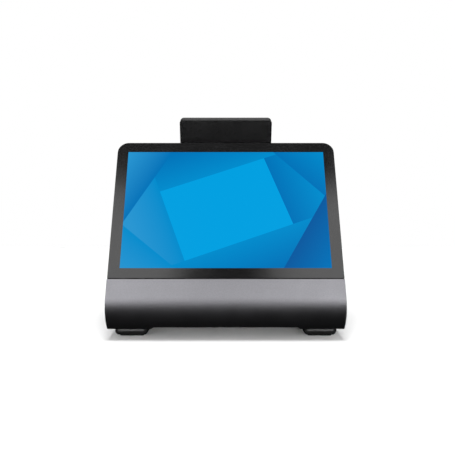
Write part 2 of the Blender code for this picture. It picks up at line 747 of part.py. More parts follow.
def key_loop(grow=0.0):
    """Long rounded key, along the side view's first axis."""
    half_length, half_width = 0.006 + grow, 0.0024 + grow
    radius = half_width * 0.999
    return rounded_box(-half_length, half_length, -half_width, half_width, radius, radius, 5)


def make_buttons():
    """Caps that sit flush in the right side, each with a flange inside the wall."""
    inner = HALF_WIDTH - WALL - GAP
    height = HALF_WIDTH - 0.0001 - inner
    crown = 0.0004
    edge = POWER_RADIUS + KEY_LIP
    profile = [(0, height), (POWER_RADIUS - crown, height), (POWER_RADIUS, height - crown)]
    profile += [(POWER_RADIUS, 0), (edge, 0), (edge, -KEY_LIP), (0, -KEY_LIP)]
    turned("power_button", profile, "black_plastic", None, (inner, *POWER_BUTTON), (0, pi / 2, 0), 20)
    for name, centre in VOLUME_BUTTONS.items():
        place = (*centre, inner)
        key = plate(name, [key_loop()], -KEY_LIP / 2, height, "black_plastic", SIDE_VIEW, place)
        flange = plate(f"{name} flange", [key_loop(0.0010)], -KEY_LIP, 0, frame=SIDE_VIEW, at=place)
        join(key, flange)


def make_switch_board():
    """Small board inside the right wall with a switch behind each button."""
    thickness, margin = 0.0012, 0.009
    back = HALF_WIDTH - 0.0075
    front = back + thickness
    start = VOLUME_BUTTONS["volume_down_button"][0] - margin
    end, z = POWER_BUTTON[0] + margin, POWER_BUTTON[1]
    board = box("switch_board", (back, front, start, end, z - 0.006, z + 0.006), "circuit_board")
    switches = []
    half = 0.0025
    for y, centre_z in (POWER_BUTTON, *VOLUME_BUTTONS.values()):
        span = (y - half, y + half, centre_z - half, centre_z + half)
        switches.append((front - thickness / 4, front + 0.0011, *span))
    join(board, add_object("switches", box_mesh(*switches), None))


def make_lock_plate():
    """Steel plate behind the lock slot."""
    y, z = LOCK_SLOT
    wall = -HALF_WIDTH + WALL + GAP
    outer = rounded_box(y - 0.011, y + 0.011, z - 0.007, z + 0.007, 0.0015, 0.0015, 2)
    slot = rounded_box(y - 0.0035, y + 0.0035, z - 0.0015, z + 0.0015)
    plate("lock_plate", [outer, slot], wall, wall + 0.0015, "bare_steel", SIDE_VIEW)


# ---- Rear door ----


def make_port_door():
    """Flap over the port bay. Its lower edge is rounded about the hinge axis and notched for cables."""
    half = WALL / 2
    profile = arc((0, 0), half, pi, 2 * pi, 6) + [(half, DOOR_HEIGHT), (-half, DOOR_HEIGHT)]
    door = plate("port_door", [profile], -DOOR_WIDTH / 2, DOOR_WIDTH / 2, "black_plastic", DOOR_SIDE)
    side = CABLE_NOTCH_HALF
    notch = rounded_box(-side, side, -WALL * 2, 0.009, upper=0.003, steps=3)
    cut(door, plate("cable notch", [notch], -WALL * 2, WALL * 2, frame=DOOR_AXIS))
    notch = circle(0, DOOR_HEIGHT + 0.002, FINGER_NOTCH_RADIUS, 28)
    cut(door, plate("finger notch", [notch], -WALL * 2, WALL * 2, frame=DOOR_AXIS))
    start, end = DOOR_WIDTH / 2 - 0.005, DOOR_WIDTH / 2 + 0.001
    radius = DOOR_PIN_RADIUS + RUNNING_GAP
    bores = [((side * start, 0, 0), (side * end, 0, 0), radius) for side in (-1, 1)]
    cut(door, add_object("door bores", rod_mesh(bores, 10), None, DOOR_AXIS))


def make_door_pins():
    middle = DOOR_WIDTH / 2 - 0.0005
    for name, side in (("left", -1), ("right", 1)):
        pin = rod_mesh([((-0.0038, 0, 0), (0.0038, 0, 0), DOOR_PIN_RADIUS)], 10)
        add_object(f"door_pin_{name}", pin, "bare_steel", DOOR_AXIS, (side * middle, 0, 0))


# ---- Customer display ----


def make_display_bracket():
    """Plate screwed to the rear face, with two ears for the hinge pin."""
    side = BRACKET_HALF_WIDTH
    loop = rounded_box(-side, side, BRACKET_LOW, HINGE_UP - 0.001, 0.004, 0.002, 3)
    holes = [circle(x, up, SCREW_HOLE, 12) for x, up in BRACKET_SCREWS]
    bracket = plate("display_bracket", [loop, *holes], -BRACKET_SHEET, -GAP, "black_plastic", REAR_FACE)
    ear = arc((0, 0), HINGE_RADIUS, -pi / 2, pi / 2, 8)
    ear += [(0.0015 - HINGE_OUT, HINGE_RADIUS - 0.0015), (0.0015 - HINGE_OUT, -0.012)]
    for name, low in (("left", -EAR_START - EAR_WIDTH), ("right", EAR_START)):
        join(bracket, plate(f"{name} ear", [ear], low, low + EAR_WIDTH, frame=CUSTOMER_SIDE))
    bore = rod_mesh([((-side, 0, 0), (side, 0, 0), HINGE_BORE)], 16)
    cut(bracket, add_object("pin bore", bore, None, CUSTOMER_AXIS))


def make_hinge_pin():
    """Headed pin, with a friction washer at each end of the display's barrel."""
    head = EAR_START + EAR_WIDTH + GAP
    end, tail = head + 0.0014, -head - 0.001
    radius = HINGE_PIN_RADIUS
    profile = [(0, end), (0.0028, end), (0.0028, head), (radius, head), (radius, -head)]
    profile += [(0.0026, -head), (0.0026, tail), (0, tail)]
    turned("hinge_pin", profile, "bare_steel", CUSTOMER_AXIS, turn=(0, pi / 2, 0), steps=16)
    start = BARREL_HALF_WIDTH + GAP
    for name, low in (("left", -start - WASHER_THICKNESS), ("right", start)):
        ring = [circle(0, 0, WASHER_RADIUS, 16), circle(0, 0, HINGE_BORE, 16)]
        plate(f"hinge_washer_{name}", ring, low, low + WASHER_THICKNESS, "bare_steel", CUSTOMER_SIDE)


def make_customer_display():
    """Case with a hinge barrel below it, and the window glass, picture module and board that it holds."""
    side = CUSTOMER_WIDTH / 2
    half = CUSTOMER_THICKNESS / 2
    low, high = CUSTOMER_BOTTOM, CUSTOMER_TOP
    corner = CUSTOMER_CORNER
    loop = rounded_box(-side, side, low, high, corner, corner, 5)
    case = bevel(plate("customer_case", [loop], -half, half, "black_plastic", CUSTOMER_AXIS), 0.0015, 2)
    wall = CUSTOMER_WALL
    corner -= wall / 2
    inside = rounded_box(-side + wall, side - wall, low + wall, high - wall, corner, corner, 4)
    cut(case, plate("case cavity", [inside], -half - 0.002, half - wall, frame=CUSTOMER_AXIS))
    barrel = rod_mesh([((-BARREL_HALF_WIDTH, 0, 0), (BARREL_HALF_WIDTH, 0, 0), HINGE_RADIUS)], 16)
    join(case, add_object("barrel", barrel, None, CUSTOMER_AXIS))
    reach = BARREL_HALF_WIDTH - 0.0005
    join(case, box("barrel neck", (-reach, reach, 0, low + wall * 0.7, -0.003, 0.003), frame=CUSTOMER_AXIS))
    bore = rod_mesh([((-side, 0, 0), (side, 0, 0), HINGE_BORE)], 16)
    cut(case, add_object("barrel bore", bore, None, CUSTOMER_AXIS))

    side -= wall + GAP
    low += wall + GAP
    high -= wall + GAP
    corner -= GAP
    window = rounded_box(-side, side, low, high, corner, corner, 4)
    face = -half + 0.0004
    plate("customer_glass", [window], face, face + CUSTOMER_GLASS, "cover_glass", CUSTOMER_AXIS)
    module = rounded_box(-0.0475, 0.0475, low + 0.001, high - 0.001)
    module_face = face + CUSTOMER_GLASS + GAP
    module_back = module_face + 0.0028
    plate("customer_lcd", [module], module_face, module_back, "picture", CUSTOMER_AXIS)
    board = rounded_box(-0.040, 0.040, low + 0.008, high - 0.008, 0.002, 0.002, 2)
    board_face = module_back + GAP
    plate("customer_board", [board], board_face, board_face + 0.0012, "circuit_board", CUSTOMER_AXIS)


# ---- Layout: places of repeated or shared features ----

# (y, z) on the sides
POWER_BUTTON = (0.036, 0.062)
POWER_RADIUS = 0.0042
VOLUME_BUTTONS = {"volume_up_button": (0.019, 0.062), "volume_down_button": (0.004, 0.062)}
LOCK_SLOT = (0.030, 0.045)
LOCK_HALF = (0.0037, 0.0018)
# (x, y) on the underside
BASE_SCREWS = [(x, y) for x in (-0.1132, 0.1132) for y in (-0.014, 0.032)]
BASE_SCREW_SEAT = FOOT_HEIGHT + 0.0022
BOARD_POSTS = [(x, y) for x in (-0.066, 0.066) for y in (-0.022, 0.008)]
FEET = [
    (f"{row}_{side}", x, y)
    for row, y in (("front", -0.0435), ("rear", 0.056))
    for side, x in (("left", -0.0974), ("right", 0.0974))
]
SPEAKER_SLOT_COUNT = 5
SPEAKER_SLOT_START = 0.082
SPEAKER_SLOT_PITCH = 0.0055
# (x, up) on the rear face
BRACKET_SCREWS = [(x, up) for x in (-0.020, 0.020) for up in (0.116, 0.130)]
CABLE_HOLE_UP = 0.123
CABLE_HOLE_RADIUS = 0.004
VENT_COUNT = 7
VENT_END = 0.058
VENT_RIB_HALF = 0.003
VENT_START = 0.066
VENT_PITCH = 0.0055
VENT_SLOT = 0.0022
BAY_LOW = 0.0268
BAY_HIGH = 0.0795
BAY_HALF_WIDTH = 0.0752
# name, x, width, height, length
PORTS = [
    ("usb_c_port", -0.052, 0.0090, 0.0033, 0.0085),
    ("usb_stack_outer", -0.034, 0.0144, 0.0156, 0.0175),
    ("usb_stack_inner", -0.014, 0.0144, 0.0156, 0.0175),
    ("ethernet_jack", 0.008, 0.0160, 0.0135, 0.0180),
    ("drawer_jack", 0.030, 0.0130, 0.0120, 0.0160),
    ("dc_jack", 0.050, 0.0092, 0.0110, 0.0140),
]

clear_scene()
PART = add_collection("pos_touchscreen_terminal")
CUTTERS = add_collection("cutters")
MATERIALS = {finish: make_material(finish) for finish in FINISHES}

# Frames. In SIDE_VIEW an outline's (x, y) is the body's (y, z); in FRONT_VIEW it is its (x, z).
SIDE_VIEW = add_frame("side_view", turn=(pi / 2, 0, pi / 2))
FRONT_VIEW = add_frame("front_view", turn=(pi / 2, 0, 0))
# In PANEL x is across, y up the glass and z out of it.
PANEL = add_frame("panel", (0, *PANEL_FOOT), (pi / 2 - PANEL_LEAN, 0, 0))
# In REAR_RISE z is up the rear face and y out of it. In REAR_FACE x is across, y up it and z into the body.
REAR_RISE = add_frame("rear_rise", (0, *REAR_FOOT), (REAR_LEAN, 0, 0))
REAR_FACE = add_frame("rear_face", turn=(pi / 2, 0, 0), parent=REAR_RISE)
# Hinge axes, along their own x. The side frames take an outline's (x, y) as (out, up).
DOOR_AXIS = add_frame("port_door_axis", (0, DOOR_AXIS_UP, WALL / 2), parent=REAR_FACE)
DOOR_SIDE = add_frame("port_door_side", turn=(0, pi / 2, 0), parent=DOOR_AXIS)
CUSTOMER_AXIS = add_frame("customer_display_axis", (0, HINGE_UP, -HINGE_OUT), parent=REAR_FACE)
CUSTOMER_SIDE = add_frame("customer_display_side", turn=(0, pi / 2, 0), parent=CUSTOMER_AXIS)

channel_cutter = make_channel_cutter()
make_front_glass()
make_panel_frame()
make_lcd()
make_chin_cover(channel_cutter)
make_base_tray(channel_cutter)
make_rear_housing()
make_feet()
make_base_weight()
make_screws()
make_main_board()
make_heatsink()
make_port_bay()
make_ports()
make_speakers()
make_flex()
make_customer_cable()
make_buttons()
make_switch_board()
make_lock_plate()
make_port_door()
make_door_pins()
make_display_bracket()
make_hinge_pin()
make_customer_display()
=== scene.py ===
"""Looks of the countertop point-of-sale terminal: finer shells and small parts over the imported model,
procedural materials, and a plain studio."""

import json
from math import asin, cos, pi, radians, sin

import bmesh
import bpy
from mathutils import Matrix, Vector


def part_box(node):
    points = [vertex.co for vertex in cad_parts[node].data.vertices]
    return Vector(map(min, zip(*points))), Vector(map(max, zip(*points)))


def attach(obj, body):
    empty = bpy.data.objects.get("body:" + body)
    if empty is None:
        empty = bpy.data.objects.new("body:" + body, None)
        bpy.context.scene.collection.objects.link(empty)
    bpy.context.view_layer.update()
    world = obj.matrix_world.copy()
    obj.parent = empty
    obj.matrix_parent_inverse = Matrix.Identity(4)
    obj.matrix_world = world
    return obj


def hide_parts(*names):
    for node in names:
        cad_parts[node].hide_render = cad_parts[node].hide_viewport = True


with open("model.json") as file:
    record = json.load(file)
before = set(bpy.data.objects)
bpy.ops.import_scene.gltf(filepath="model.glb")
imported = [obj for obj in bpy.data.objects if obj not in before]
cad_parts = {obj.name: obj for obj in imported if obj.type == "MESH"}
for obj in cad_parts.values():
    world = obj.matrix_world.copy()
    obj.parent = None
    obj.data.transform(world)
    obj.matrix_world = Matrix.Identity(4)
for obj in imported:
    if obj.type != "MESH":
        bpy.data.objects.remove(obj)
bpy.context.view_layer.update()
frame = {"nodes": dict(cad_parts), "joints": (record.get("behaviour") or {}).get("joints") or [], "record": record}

# ---- Sizes, in metres: the design's own driving dimensions, and places read from the frame ----
PANEL_LEAN = radians(28)  # back from upright
REAR_LEAN = radians(18)  # forward from upright
GAP = 0.0003  # between separate pieces
WALL = 0.0025
SEAM_HEIGHT = 0.024
CHANNEL_RISE = 0.002
CHANNEL_HALF_WIDTH = 0.075
CHIN_RADIUS = 0.028
CHIN_SHEET = 0.002
CHIN_FLAT = 0.018  # straight part, in line with the glass
CHIN_LIP = 0.0004  # how far the rolled edge reaches below the tray
CORNER_RADIUS = 0.012
REAR_CORNER_RADIUS = 0.010
GLASS_THICKNESS = 0.0018
GLASS_HEIGHT = 0.1588
PANEL_FRAME_DEPTH = 0.012
PANEL_SEAM = 0.0007  # shadow line between the glass and the chin
PICTURE_WIDTH = 0.2155
PICTURE_HEIGHT = 0.1356
PICTURE_MIDDLE = 0.0792
DOOR_AXIS_UP = 0.007
DOOR_HEIGHT = 0.050
HINGE_UP = 0.143
HINGE_OUT = 0.013
HINGE_RADIUS = 0.0045
PIN_BORE = 0.00175  # radius
FOOT_HALF = 0.0169
FOOT_WAIST_HALF = 0.0166
FOOT_LOW_HALF = 0.0148
FOOT_WAIST_HEIGHT = 0.0042
# The strip on each foot's front is paler than the foot: a painted highlight, standing for light on its front band.
FOOT_HIGHLIGHT_STRIP = (0.0132, 0.0061, 0.0082)  # the strip on its front: half width, and the heights of its edges
CUSTOMER_BOTTOM = 0.006
CUSTOMER_TOP = 0.070
CUSTOMER_THICKNESS = 0.013
CUSTOMER_CORNER = 0.0045
CUSTOMER_WALL = 0.0023
SCREW_HOLE = 0.0016  # radius
FAR = 0.3  # past everything, for cutters

JOINTS = {joint["name"]: Vector(joint["pos_m"]) for joint in frame["joints"] if "pos_m" in joint}
SIZES = {name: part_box(name) for name in frame["nodes"]}
HALF_WIDTH = SIZES["rear_housing"][1].x
FOOT_HEIGHT = SIZES["base_tray"][0].z
REAR = SIZES["base_tray"][1].y
FRONT = SIZES["chin_cover"][0].y
TRAY_FLOOR = FOOT_HEIGHT + CHANNEL_RISE + WALL

SIDE_VIEW = Matrix.Rotation(pi / 2, 4, "Z") @ Matrix.Rotation(pi / 2, 4, "X")
FRONT_VIEW = Matrix.Rotation(pi / 2, 4, "X")
GLASS_LOW = SIZES["front_glass"][0]
PANEL_FOOT = Vector((0, GLASS_LOW.y, GLASS_LOW.z + GLASS_THICKNESS * sin(PANEL_LEAN)))
PANEL = Matrix.Translation(PANEL_FOOT) @ Matrix.Rotation(pi / 2 - PANEL_LEAN, 4, "X")
REAR_TURN = Matrix.Rotation(pi / 2 + REAR_LEAN, 4, "X")
DOOR_AXIS = Matrix.Translation(JOINTS["port_door_hinge"]) @ REAR_TURN
CUSTOMER_AXIS = Matrix.Translation(JOINTS["customer_display_tilt"]) @ REAR_TURN
REAR_FACE = DOOR_AXIS @ Matrix.Translation((0, -DOOR_AXIS_UP, -WALL / 2))
REAR_RISE = REAR_FACE @ Matrix.Rotation(-pi / 2, 4, "X")
OUT_UP = Matrix.Rotation(pi / 2, 4, "Y")  # turns an axis frame so that an outline's x is out of the body
HINGE_LINE = CUSTOMER_AXIS @ OUT_UP
CHIN_AXIS = (  # (y, z)
    PANEL_FOOT.y - CHIN_FLAT * sin(PANEL_LEAN) + CHIN_RADIUS * cos(PANEL_LEAN),
    PANEL_FOOT.z - CHIN_FLAT * cos(PANEL_LEAN) - CHIN_RADIUS * sin(PANEL_LEAN),
)


def middle_of(node):
    low, high = SIZES[node]
    return (low + high) / 2


BASE_SCREWS = [middle_of(f"base_screw_{i}") for i in range(1, 5)]
BRACKET_SCREWS = [(x, up) for x in (-0.020, 0.020) for up in (0.116, 0.130)]
VENT_ROWS = [0.066 + i * 0.0055 for i in range(7)]
VENT_HEIGHT = 0.0022
VENT_SPANS = ((-0.058, -0.003), (0.003, 0.058))
KEYS = {
    "power_button": ("power_key", 0.0042),
    "volume_up_button": ("volume_up_key", None),
    "volume_down_button": ("volume_down_key", None),
}


# ---- Flat outlines ----


def arc(centre, radius, start, end, steps):
    angles = [start + (end - start) * i / steps for i in range(steps + 1)]
    return [(centre[0] + radius * cos(a), centre[1] + radius * sin(a)) for a in angles]


def rounded_box(x0, x1, y0, y1, lower=0.0, upper=0.0, steps=12):
    """A rectangle with one radius for its lower corners and one for its upper ones."""
    corners = [(x0, y0, lower, 1, 1), (x1, y0, lower, -1, 1)]
    corners += [(x1, y1, upper, -1, -1), (x0, y1, upper, 1, -1)]
    points = []
    for i, (x, y, radius, inward_x, inward_y) in enumerate(corners):
        if not radius:
            points.append((x, y))
            continue
        start = pi + i * pi / 2
        points += arc((x + inward_x * radius, y + inward_y * radius), radius, start, start + pi / 2, steps)
    return points


def slot_outline(x0, x1, y0, y1, steps=8):
    """A rectangle with fully rounded short ends."""
    radius = min(x1 - x0, y1 - y0) / 2 * 0.999
    return rounded_box(x0, x1, y0, y1, radius, radius, steps)


def circle(x, y, radius, steps=32):
    return arc((x, y), radius, 0, 2 * pi * (1 - 1 / steps), steps - 1)


def on_panel(depth, up):
    """(y, z) of the point this far behind the glass face and this far up it."""
    place = PANEL @ Vector((0, up, -depth))
    return place.y, place.z


def chin_line(inset, low, high=None, steps=40):
    """(y, z) points up the chin's side view, from height low to high or to its flat."""
    radius = CHIN_RADIUS - inset
    start = asin((low - CHIN_AXIS[1]) / radius)
    end = PANEL_LEAN if high is None else asin((high - CHIN_AXIS[1]) / radius)
    angles = [start + (end - start) * i / steps for i in range(steps + 1)]
    return [(CHIN_AXIS[0] - radius * cos(a), CHIN_AXIS[1] + radius * sin(a)) for a in angles]


# ---- Mesh tools ----


def add_object(name, mesh, matrix=Matrix()):
    obj = bpy.data.objects.new(name, mesh)
    bpy.context.scene.collection.objects.link(obj)
    obj.matrix_world = matrix
    return obj


def add_shape(name, shape, matrix):
    """Turns a finished shape into an object."""
    mesh = bpy.data.meshes.new(name)
    shape.to_mesh(mesh)
    shape.free()
    return add_object(name, mesh, matrix)


def loft(name, rings, matrix=Matrix()):
    """A closed solid through rings of equal length, each a list of (x, y, z), with flat ends."""
    shape = bmesh.new()
    loops = [[shape.verts.new(point) for point in ring] for ring in rings]
    count = len(rings[0])
    shape.faces.new(loops[0][::-1])
    shape.faces.new(loops[-1])
    for lower, upper in zip(loops, loops[1:]):
        for i in range(count):
            j = (i + 1) % count
            shape.faces.new((lower[i], lower[j], upper[j], upper[i]))
    bmesh.ops.recalc_face_normals(shape, faces=shape.faces)
    return add_shape(name, shape, matrix)


def prism(name, outline, low, high, matrix=Matrix()):
    """A flat outline carried from z = low to z = high in the frame."""
    return loft(name, [[(x, y, z) for x, y in outline] for z in (low, high)], matrix)


def box(name, span, matrix=Matrix()):
    x0, x1, y0, y1, z0, z1 = span
    return prism(name, rounded_box(x0, x1, y0, y1), z0, z1, matrix)


def drill(x, y, radius, low, high, matrix=Matrix(), steps=32):
    """A round cutter about (x, y)."""
    return prism("drill", circle(x, y, radius, steps), low, high, matrix)


def turned(name, profile, matrix=Matrix(), steps=48):
    """A solid of revolution about z through (radius, z) points whose ends are on the axis."""
    shape = bmesh.new()
    ends = [shape.verts.new((0, 0, profile[i][1])) for i in (0, -1)]
    rings = []
    for radius, z in profile[1:-1]:
        angles = [2 * pi * i / steps for i in range(steps)]
        rings.append([shape.verts.new((radius * cos(a), radius * sin(a), z)) for a in angles])
    for i in range(steps):
        j = (i + 1) % steps
        shape.faces.new((ends[0], rings[0][i], rings[0][j]))
        shape.faces.new((ends[1], rings[-1][j], rings[-1][i]))
        for upper, lower in zip(rings, rings[1:]):
            shape.faces.new((upper[i], lower[i], lower[j], upper[j]))
    bmesh.ops.recalc_face_normals(shape, faces=shape.faces)
    return add_shape(name, shape, matrix)


def merge(name, pieces):
    """Joins objects that don't touch into one object, and removes them."""
    shape = bmesh.new()
    base = pieces[0].matrix_world.copy()
    for piece in pieces:
        piece.data.transform(base.inverted() @ piece.matrix_world)
        shape.from_mesh(piece.data)
        bpy.data.objects.remove(piece)
    return add_shape(name, shape, base)


def combine(obj, operation, *tools):
    """Applies one exact Boolean for each tool, removes the tool, and tidies the flat faces."""
    for tool in tools:
        modifier = obj.modifiers.new("combine", "BOOLEAN")
        modifier.operation = operation
        modifier.solver = "EXACT"
        modifier.object = tool
        graph = bpy.context.evaluated_depsgraph_get()
        mesh = bpy.data.meshes.new_from_object(obj.evaluated_get(graph))
        obj.modifiers.clear()
        obj.data = mesh
        bpy.data.objects.remove(tool)
    shape = bmesh.new()
    shape.from_mesh(obj.data)
    bmesh.ops.remove_doubles(shape, verts=shape.verts, dist=2e-7)
    bmesh.ops.dissolve_limit(shape, angle_limit=radians(0.2), verts=shape.verts, edges=shape.edges)
    shape.to_mesh(obj.data)
    shape.free()
    return obj


def cut(obj, *tools):
    return combine(obj, "DIFFERENCE", *tools)


def trim(obj, *tools):
    return combine(obj, "INTERSECT", *tools)


def join(obj, *tools):
    return combine(obj, "UNION", *tools)


def soften(obj, width, segments=3, sharper=40, flatter=180, where=None):
    """Rounds the edges that turn by between two angles, in degrees, at the places that where accepts."""
    shape = bmesh.new()
    shape.from_mesh(obj.data)
    chosen = []
    for edge in shape.edges:
        if len(edge.link_faces) != 2:
            continue
        turn = edge.calc_face_angle(0)
        middle = (edge.verts[0].co + edge.verts[1].co) / 2
        if radians(sharper) <= turn <= radians(flatter) and (where is None or where(middle)):
            chosen.append(edge)
    bmesh.ops.bevel(
        shape, geom=chosen, offset=width, offset_type="OFFSET", segments=segments, profile=0.5,
        affect="EDGES", clamp_overlap=True,
    )
    shape.to_mesh(obj.data)
    shape.free()
    return obj


def dress(obj, material, slot, *replaced, body="terminal_body", sharp=32):
    """Shades a piece, gives it its material, ties it to its body, and hides the nodes it stands for. The slot is
    not used.
    """
    obj.data.materials.clear()
    obj.data.materials.append(MATERIALS[material])
    obj.data.shade_smooth()
    obj.data.set_sharp_from_angle(angle=radians(sharp))
    normals = obj.modifiers.new("face normals", "WEIGHTED_NORMAL")
    normals.keep_sharp = True
    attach(obj, body)
    if replaced:
        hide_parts(*replaced)


# ---- Materials ----


def srgb(*values):
    """Display colour from 0 to 255, as the linear colour that shaders use."""
    scaled = [value / 255 for value in values]
    return [v / 12.92 if v <= 0.04045 else ((v + 0.055) / 1.055) ** 2.4 for v in scaled]


def shaded(colour, factor):
    return tuple(min(1.0, value * factor) for value in colour)


def set_sockets(tree, node, sockets):
    """Gives each named input a plain value, or a link from another node's output."""
    for name, value in sockets.items():
        if isinstance(value, bpy.types.NodeSocket):
            tree.links.new(value, node.inputs[name])
        else:
            node.inputs[name].default_value = value


def add_node(tree, kind, sockets, **settings):
    node = tree.nodes.new(kind)
    for name, value in settings.items():
        setattr(node, name, value)
    set_sockets(tree, node, sockets)
    return node


def start_material(name, colour, roughness, metallic=0.0, **sockets):
    """A material with plain values on its shader. Returns it with its node tree and shader."""
    material = bpy.data.materials.new(name)
    material.use_nodes = True
    material.diffuse_color = (*colour, 1)
    tree = material.node_tree
    shader = tree.nodes["Principled BSDF"]
    set_sockets(tree, shader, {"Base Color": (*colour, 1), "Roughness": roughness, "Metallic": metallic})
    set_sockets(tree, shader, {socket.replace("_", " "): value for socket, value in sockets.items()})
    return material, tree, shader


def add_noise(tree, scale, detail=2.0, roughness=0.5, stretch=(1, 1, 1)):
    """Noise in the piece's own coordinates. The scale is in features a metre."""
    place = add_node(tree, "ShaderNodeTexCoord", {})
    mapping = add_node(tree, "ShaderNodeMapping", {"Vector": place.outputs["Object"], "Scale": stretch})
    sockets = {"Vector": mapping.outputs["Vector"], "Scale": scale, "Detail": detail, "Roughness": roughness}
    return add_node(tree, "ShaderNodeTexNoise", sockets).outputs["Fac"]


def vary(tree, source, shader, low, high):
    """Drives the roughness between low and high with a noise value."""
    sockets = {"Value": source, "From Min": 0.35, "From Max": 0.65, "To Min": low, "To Max": high}
    spread = add_node(tree, "ShaderNodeMapRange", sockets)
    tree.links.new(spread.outputs["Result"], shader.inputs["Roughness"])


def tint(tree, source, shader, first, second, start=0.35, end=0.65):
    """Drives the base colour between two colours with a noise value."""
    ramp = add_node(tree, "ShaderNodeValToRGB", {"Fac": source})
    for element, position, colour in zip(ramp.color_ramp.elements, (start, end), (first, second)):
        element.position = position
        element.color = (*colour, 1)
    tree.links.new(ramp.outputs["Color"], shader.inputs["Base Color"])


def emboss(tree, source, shader, distance, strength=1.0):
    sockets = {"Height": source, "Strength": strength, "Distance": distance}
    bump = add_node(tree, "ShaderNodeBump", sockets)
    tree.links.new(bump.outputs["Normal"], shader.inputs["Normal"])


def plastic(name, colour, roughness, grain=1400.0, depth=0.00003, spread=0.06):
    """Moulded plastic: spark-eroded grain, with gloss that drifts a little over the surface."""
    material, tree, shader = start_material(name, colour, roughness)
    emboss(tree, add_noise(tree, grain, 3.0), shader, depth, 0.6)
    drift = add_noise(tree, 38.0, 3.0)
    vary(tree, drift, shader, roughness - spread, roughness + spread)
    tint(tree, drift, shader, shaded(colour, 0.94), shaded(colour, 1.06))
    return material


def metal(name, colour, roughness, stretch=(1, 1, 1), grain=900.0, spread=0.08):
    """Metal with a rolled or brushed grain along the axis that is stretched least."""
    material, tree, shader = start_material(name, colour, roughness, 1.0)
    lines = add_noise(tree, grain, 3.0, 0.6, stretch)
    vary(tree, lines, shader, roughness - spread, roughness + spread)
    tint(tree, lines, shader, shaded(colour, 0.88), shaded(colour, 1.08))
    emboss(tree, lines, shader, 0.00001, 0.4)
    return material


def chin_paint():
    """Satin metallic lacquer on the chin, with fine flakes."""
    colour = (0.300, 0.297, 0.318)
    material, tree, shader = start_material("chin_paint", colour, 0.42, 1.0)
    flakes = add_noise(tree, 1500.0, 2.0, 0.7)
    tint(tree, flakes, shader, shaded(colour, 0.90), shaded(colour, 1.10))
    vary(tree, add_noise(tree, 60.0), shader, 0.41, 0.44)
    emboss(tree, flakes, shader, 0.00001, 0.5)
    return material


def black_glass(name, roughness=0.135):
    """Cover glass over its black print, with faint wipe marks."""
    colour = (0.0020, 0.0020, 0.0022)
    material, tree, shader = start_material(name, colour, roughness, IOR=1.5)
    marks = add_noise(tree, 24.0, 4.0, 0.6, (1, 1, 3))
    vary(tree, marks, shader, roughness - 0.02, roughness + 0.03)
    tint(tree, marks, shader, colour, shaded(colour, 1.3))
    return material


def rubber():
    colour = (0.006, 0.006, 0.006)
    material, tree, shader = start_material("foot_rubber", colour, 0.82, Specular_IOR_Level=0.1)
    grain = add_noise(tree, 1800.0, 3.0)
    emboss(tree, grain, shader, 0.00004, 0.7)
    vary(tree, grain, shader, 0.76, 0.88)
    return material


def circuit_board():
    """Solder mask with copper fields and tracks faintly showing through."""
    material, tree, shader = start_material("board_green", (0.012, 0.085, 0.040), 0.42)
    place = add_node(tree, "ShaderNodeTexCoord", {})
    sockets = {"Vector": place.outputs["Object"], "Scale": 260.0}
    cells = add_node(tree, "ShaderNodeTexVoronoi", sockets, distance="MANHATTAN").outputs["Distance"]
    tint(tree, cells, shader, (0.008, 0.062, 0.030), (0.020, 0.125, 0.058), 0.42, 0.50)
    emboss(tree, cells, shader, 0.00002, 0.3)
    return material


def glossy_film():
    """Amber film of the flat ribbon, slightly rippled."""
    colour = (0.36, 0.18, 0.04)
    material, tree, shader = start_material("flex_film", colour, 0.35)
    ripple = add_noise(tree, 120.0, 2.0)
    tint(tree, ripple, shader, shaded(colour, 0.8), shaded(colour, 1.15))
    emboss(tree, ripple, shader, 0.0001, 0.3)
    return material


def floor_material():
    material, tree, shader = start_material("studio_floor", (0.94, 0.94, 0.94), 0.9, Specular_IOR_Level=0.0)
    tint(tree, add_noise(tree, 3.0), shader, (0.93, 0.93, 0.93), (0.95, 0.95, 0.95))
    return material


# The picture on the touchscreen, a generic desktop of the builder's own design. Around a bright middle, each
# fold covers what lies beyond its line and fades away from it. Its numbers are the direction it lies in, in
# degrees from the right, and its distance from the middle, and its blues are at the line and past the fade.
PICTURE_BLUES = {
    "deep": (10, 90, 160),
    "dark": (0, 115, 185),
    "middle": (0, 140, 205),
    "bright": (0, 160, 225),
    "pale": (40, 150, 210),
}
PICTURE_FADE = 0.04
PICTURE_FOLDS = [
    (20, 0.060, "dark", "middle"),
    (110, 0.042, "middle", "dark"),
    (200, 0.060, "middle", "pale"),
    (290, 0.042, "middle", "dark"),
    (45, 0.085, "dark", "middle"),
    (150, 0.085, "dark", "pale"),
    (230, 0.085, "middle", "pale"),
    (330, 0.085, "deep", "dark"),
]


def add_mix(tree, factor, first, second):
    mix = add_node(tree, "ShaderNodeMix", {}, data_type="RGBA")
    set_sockets(tree, mix, {"Factor": factor, "A": first, "B": second})
    return mix.outputs["Result"]


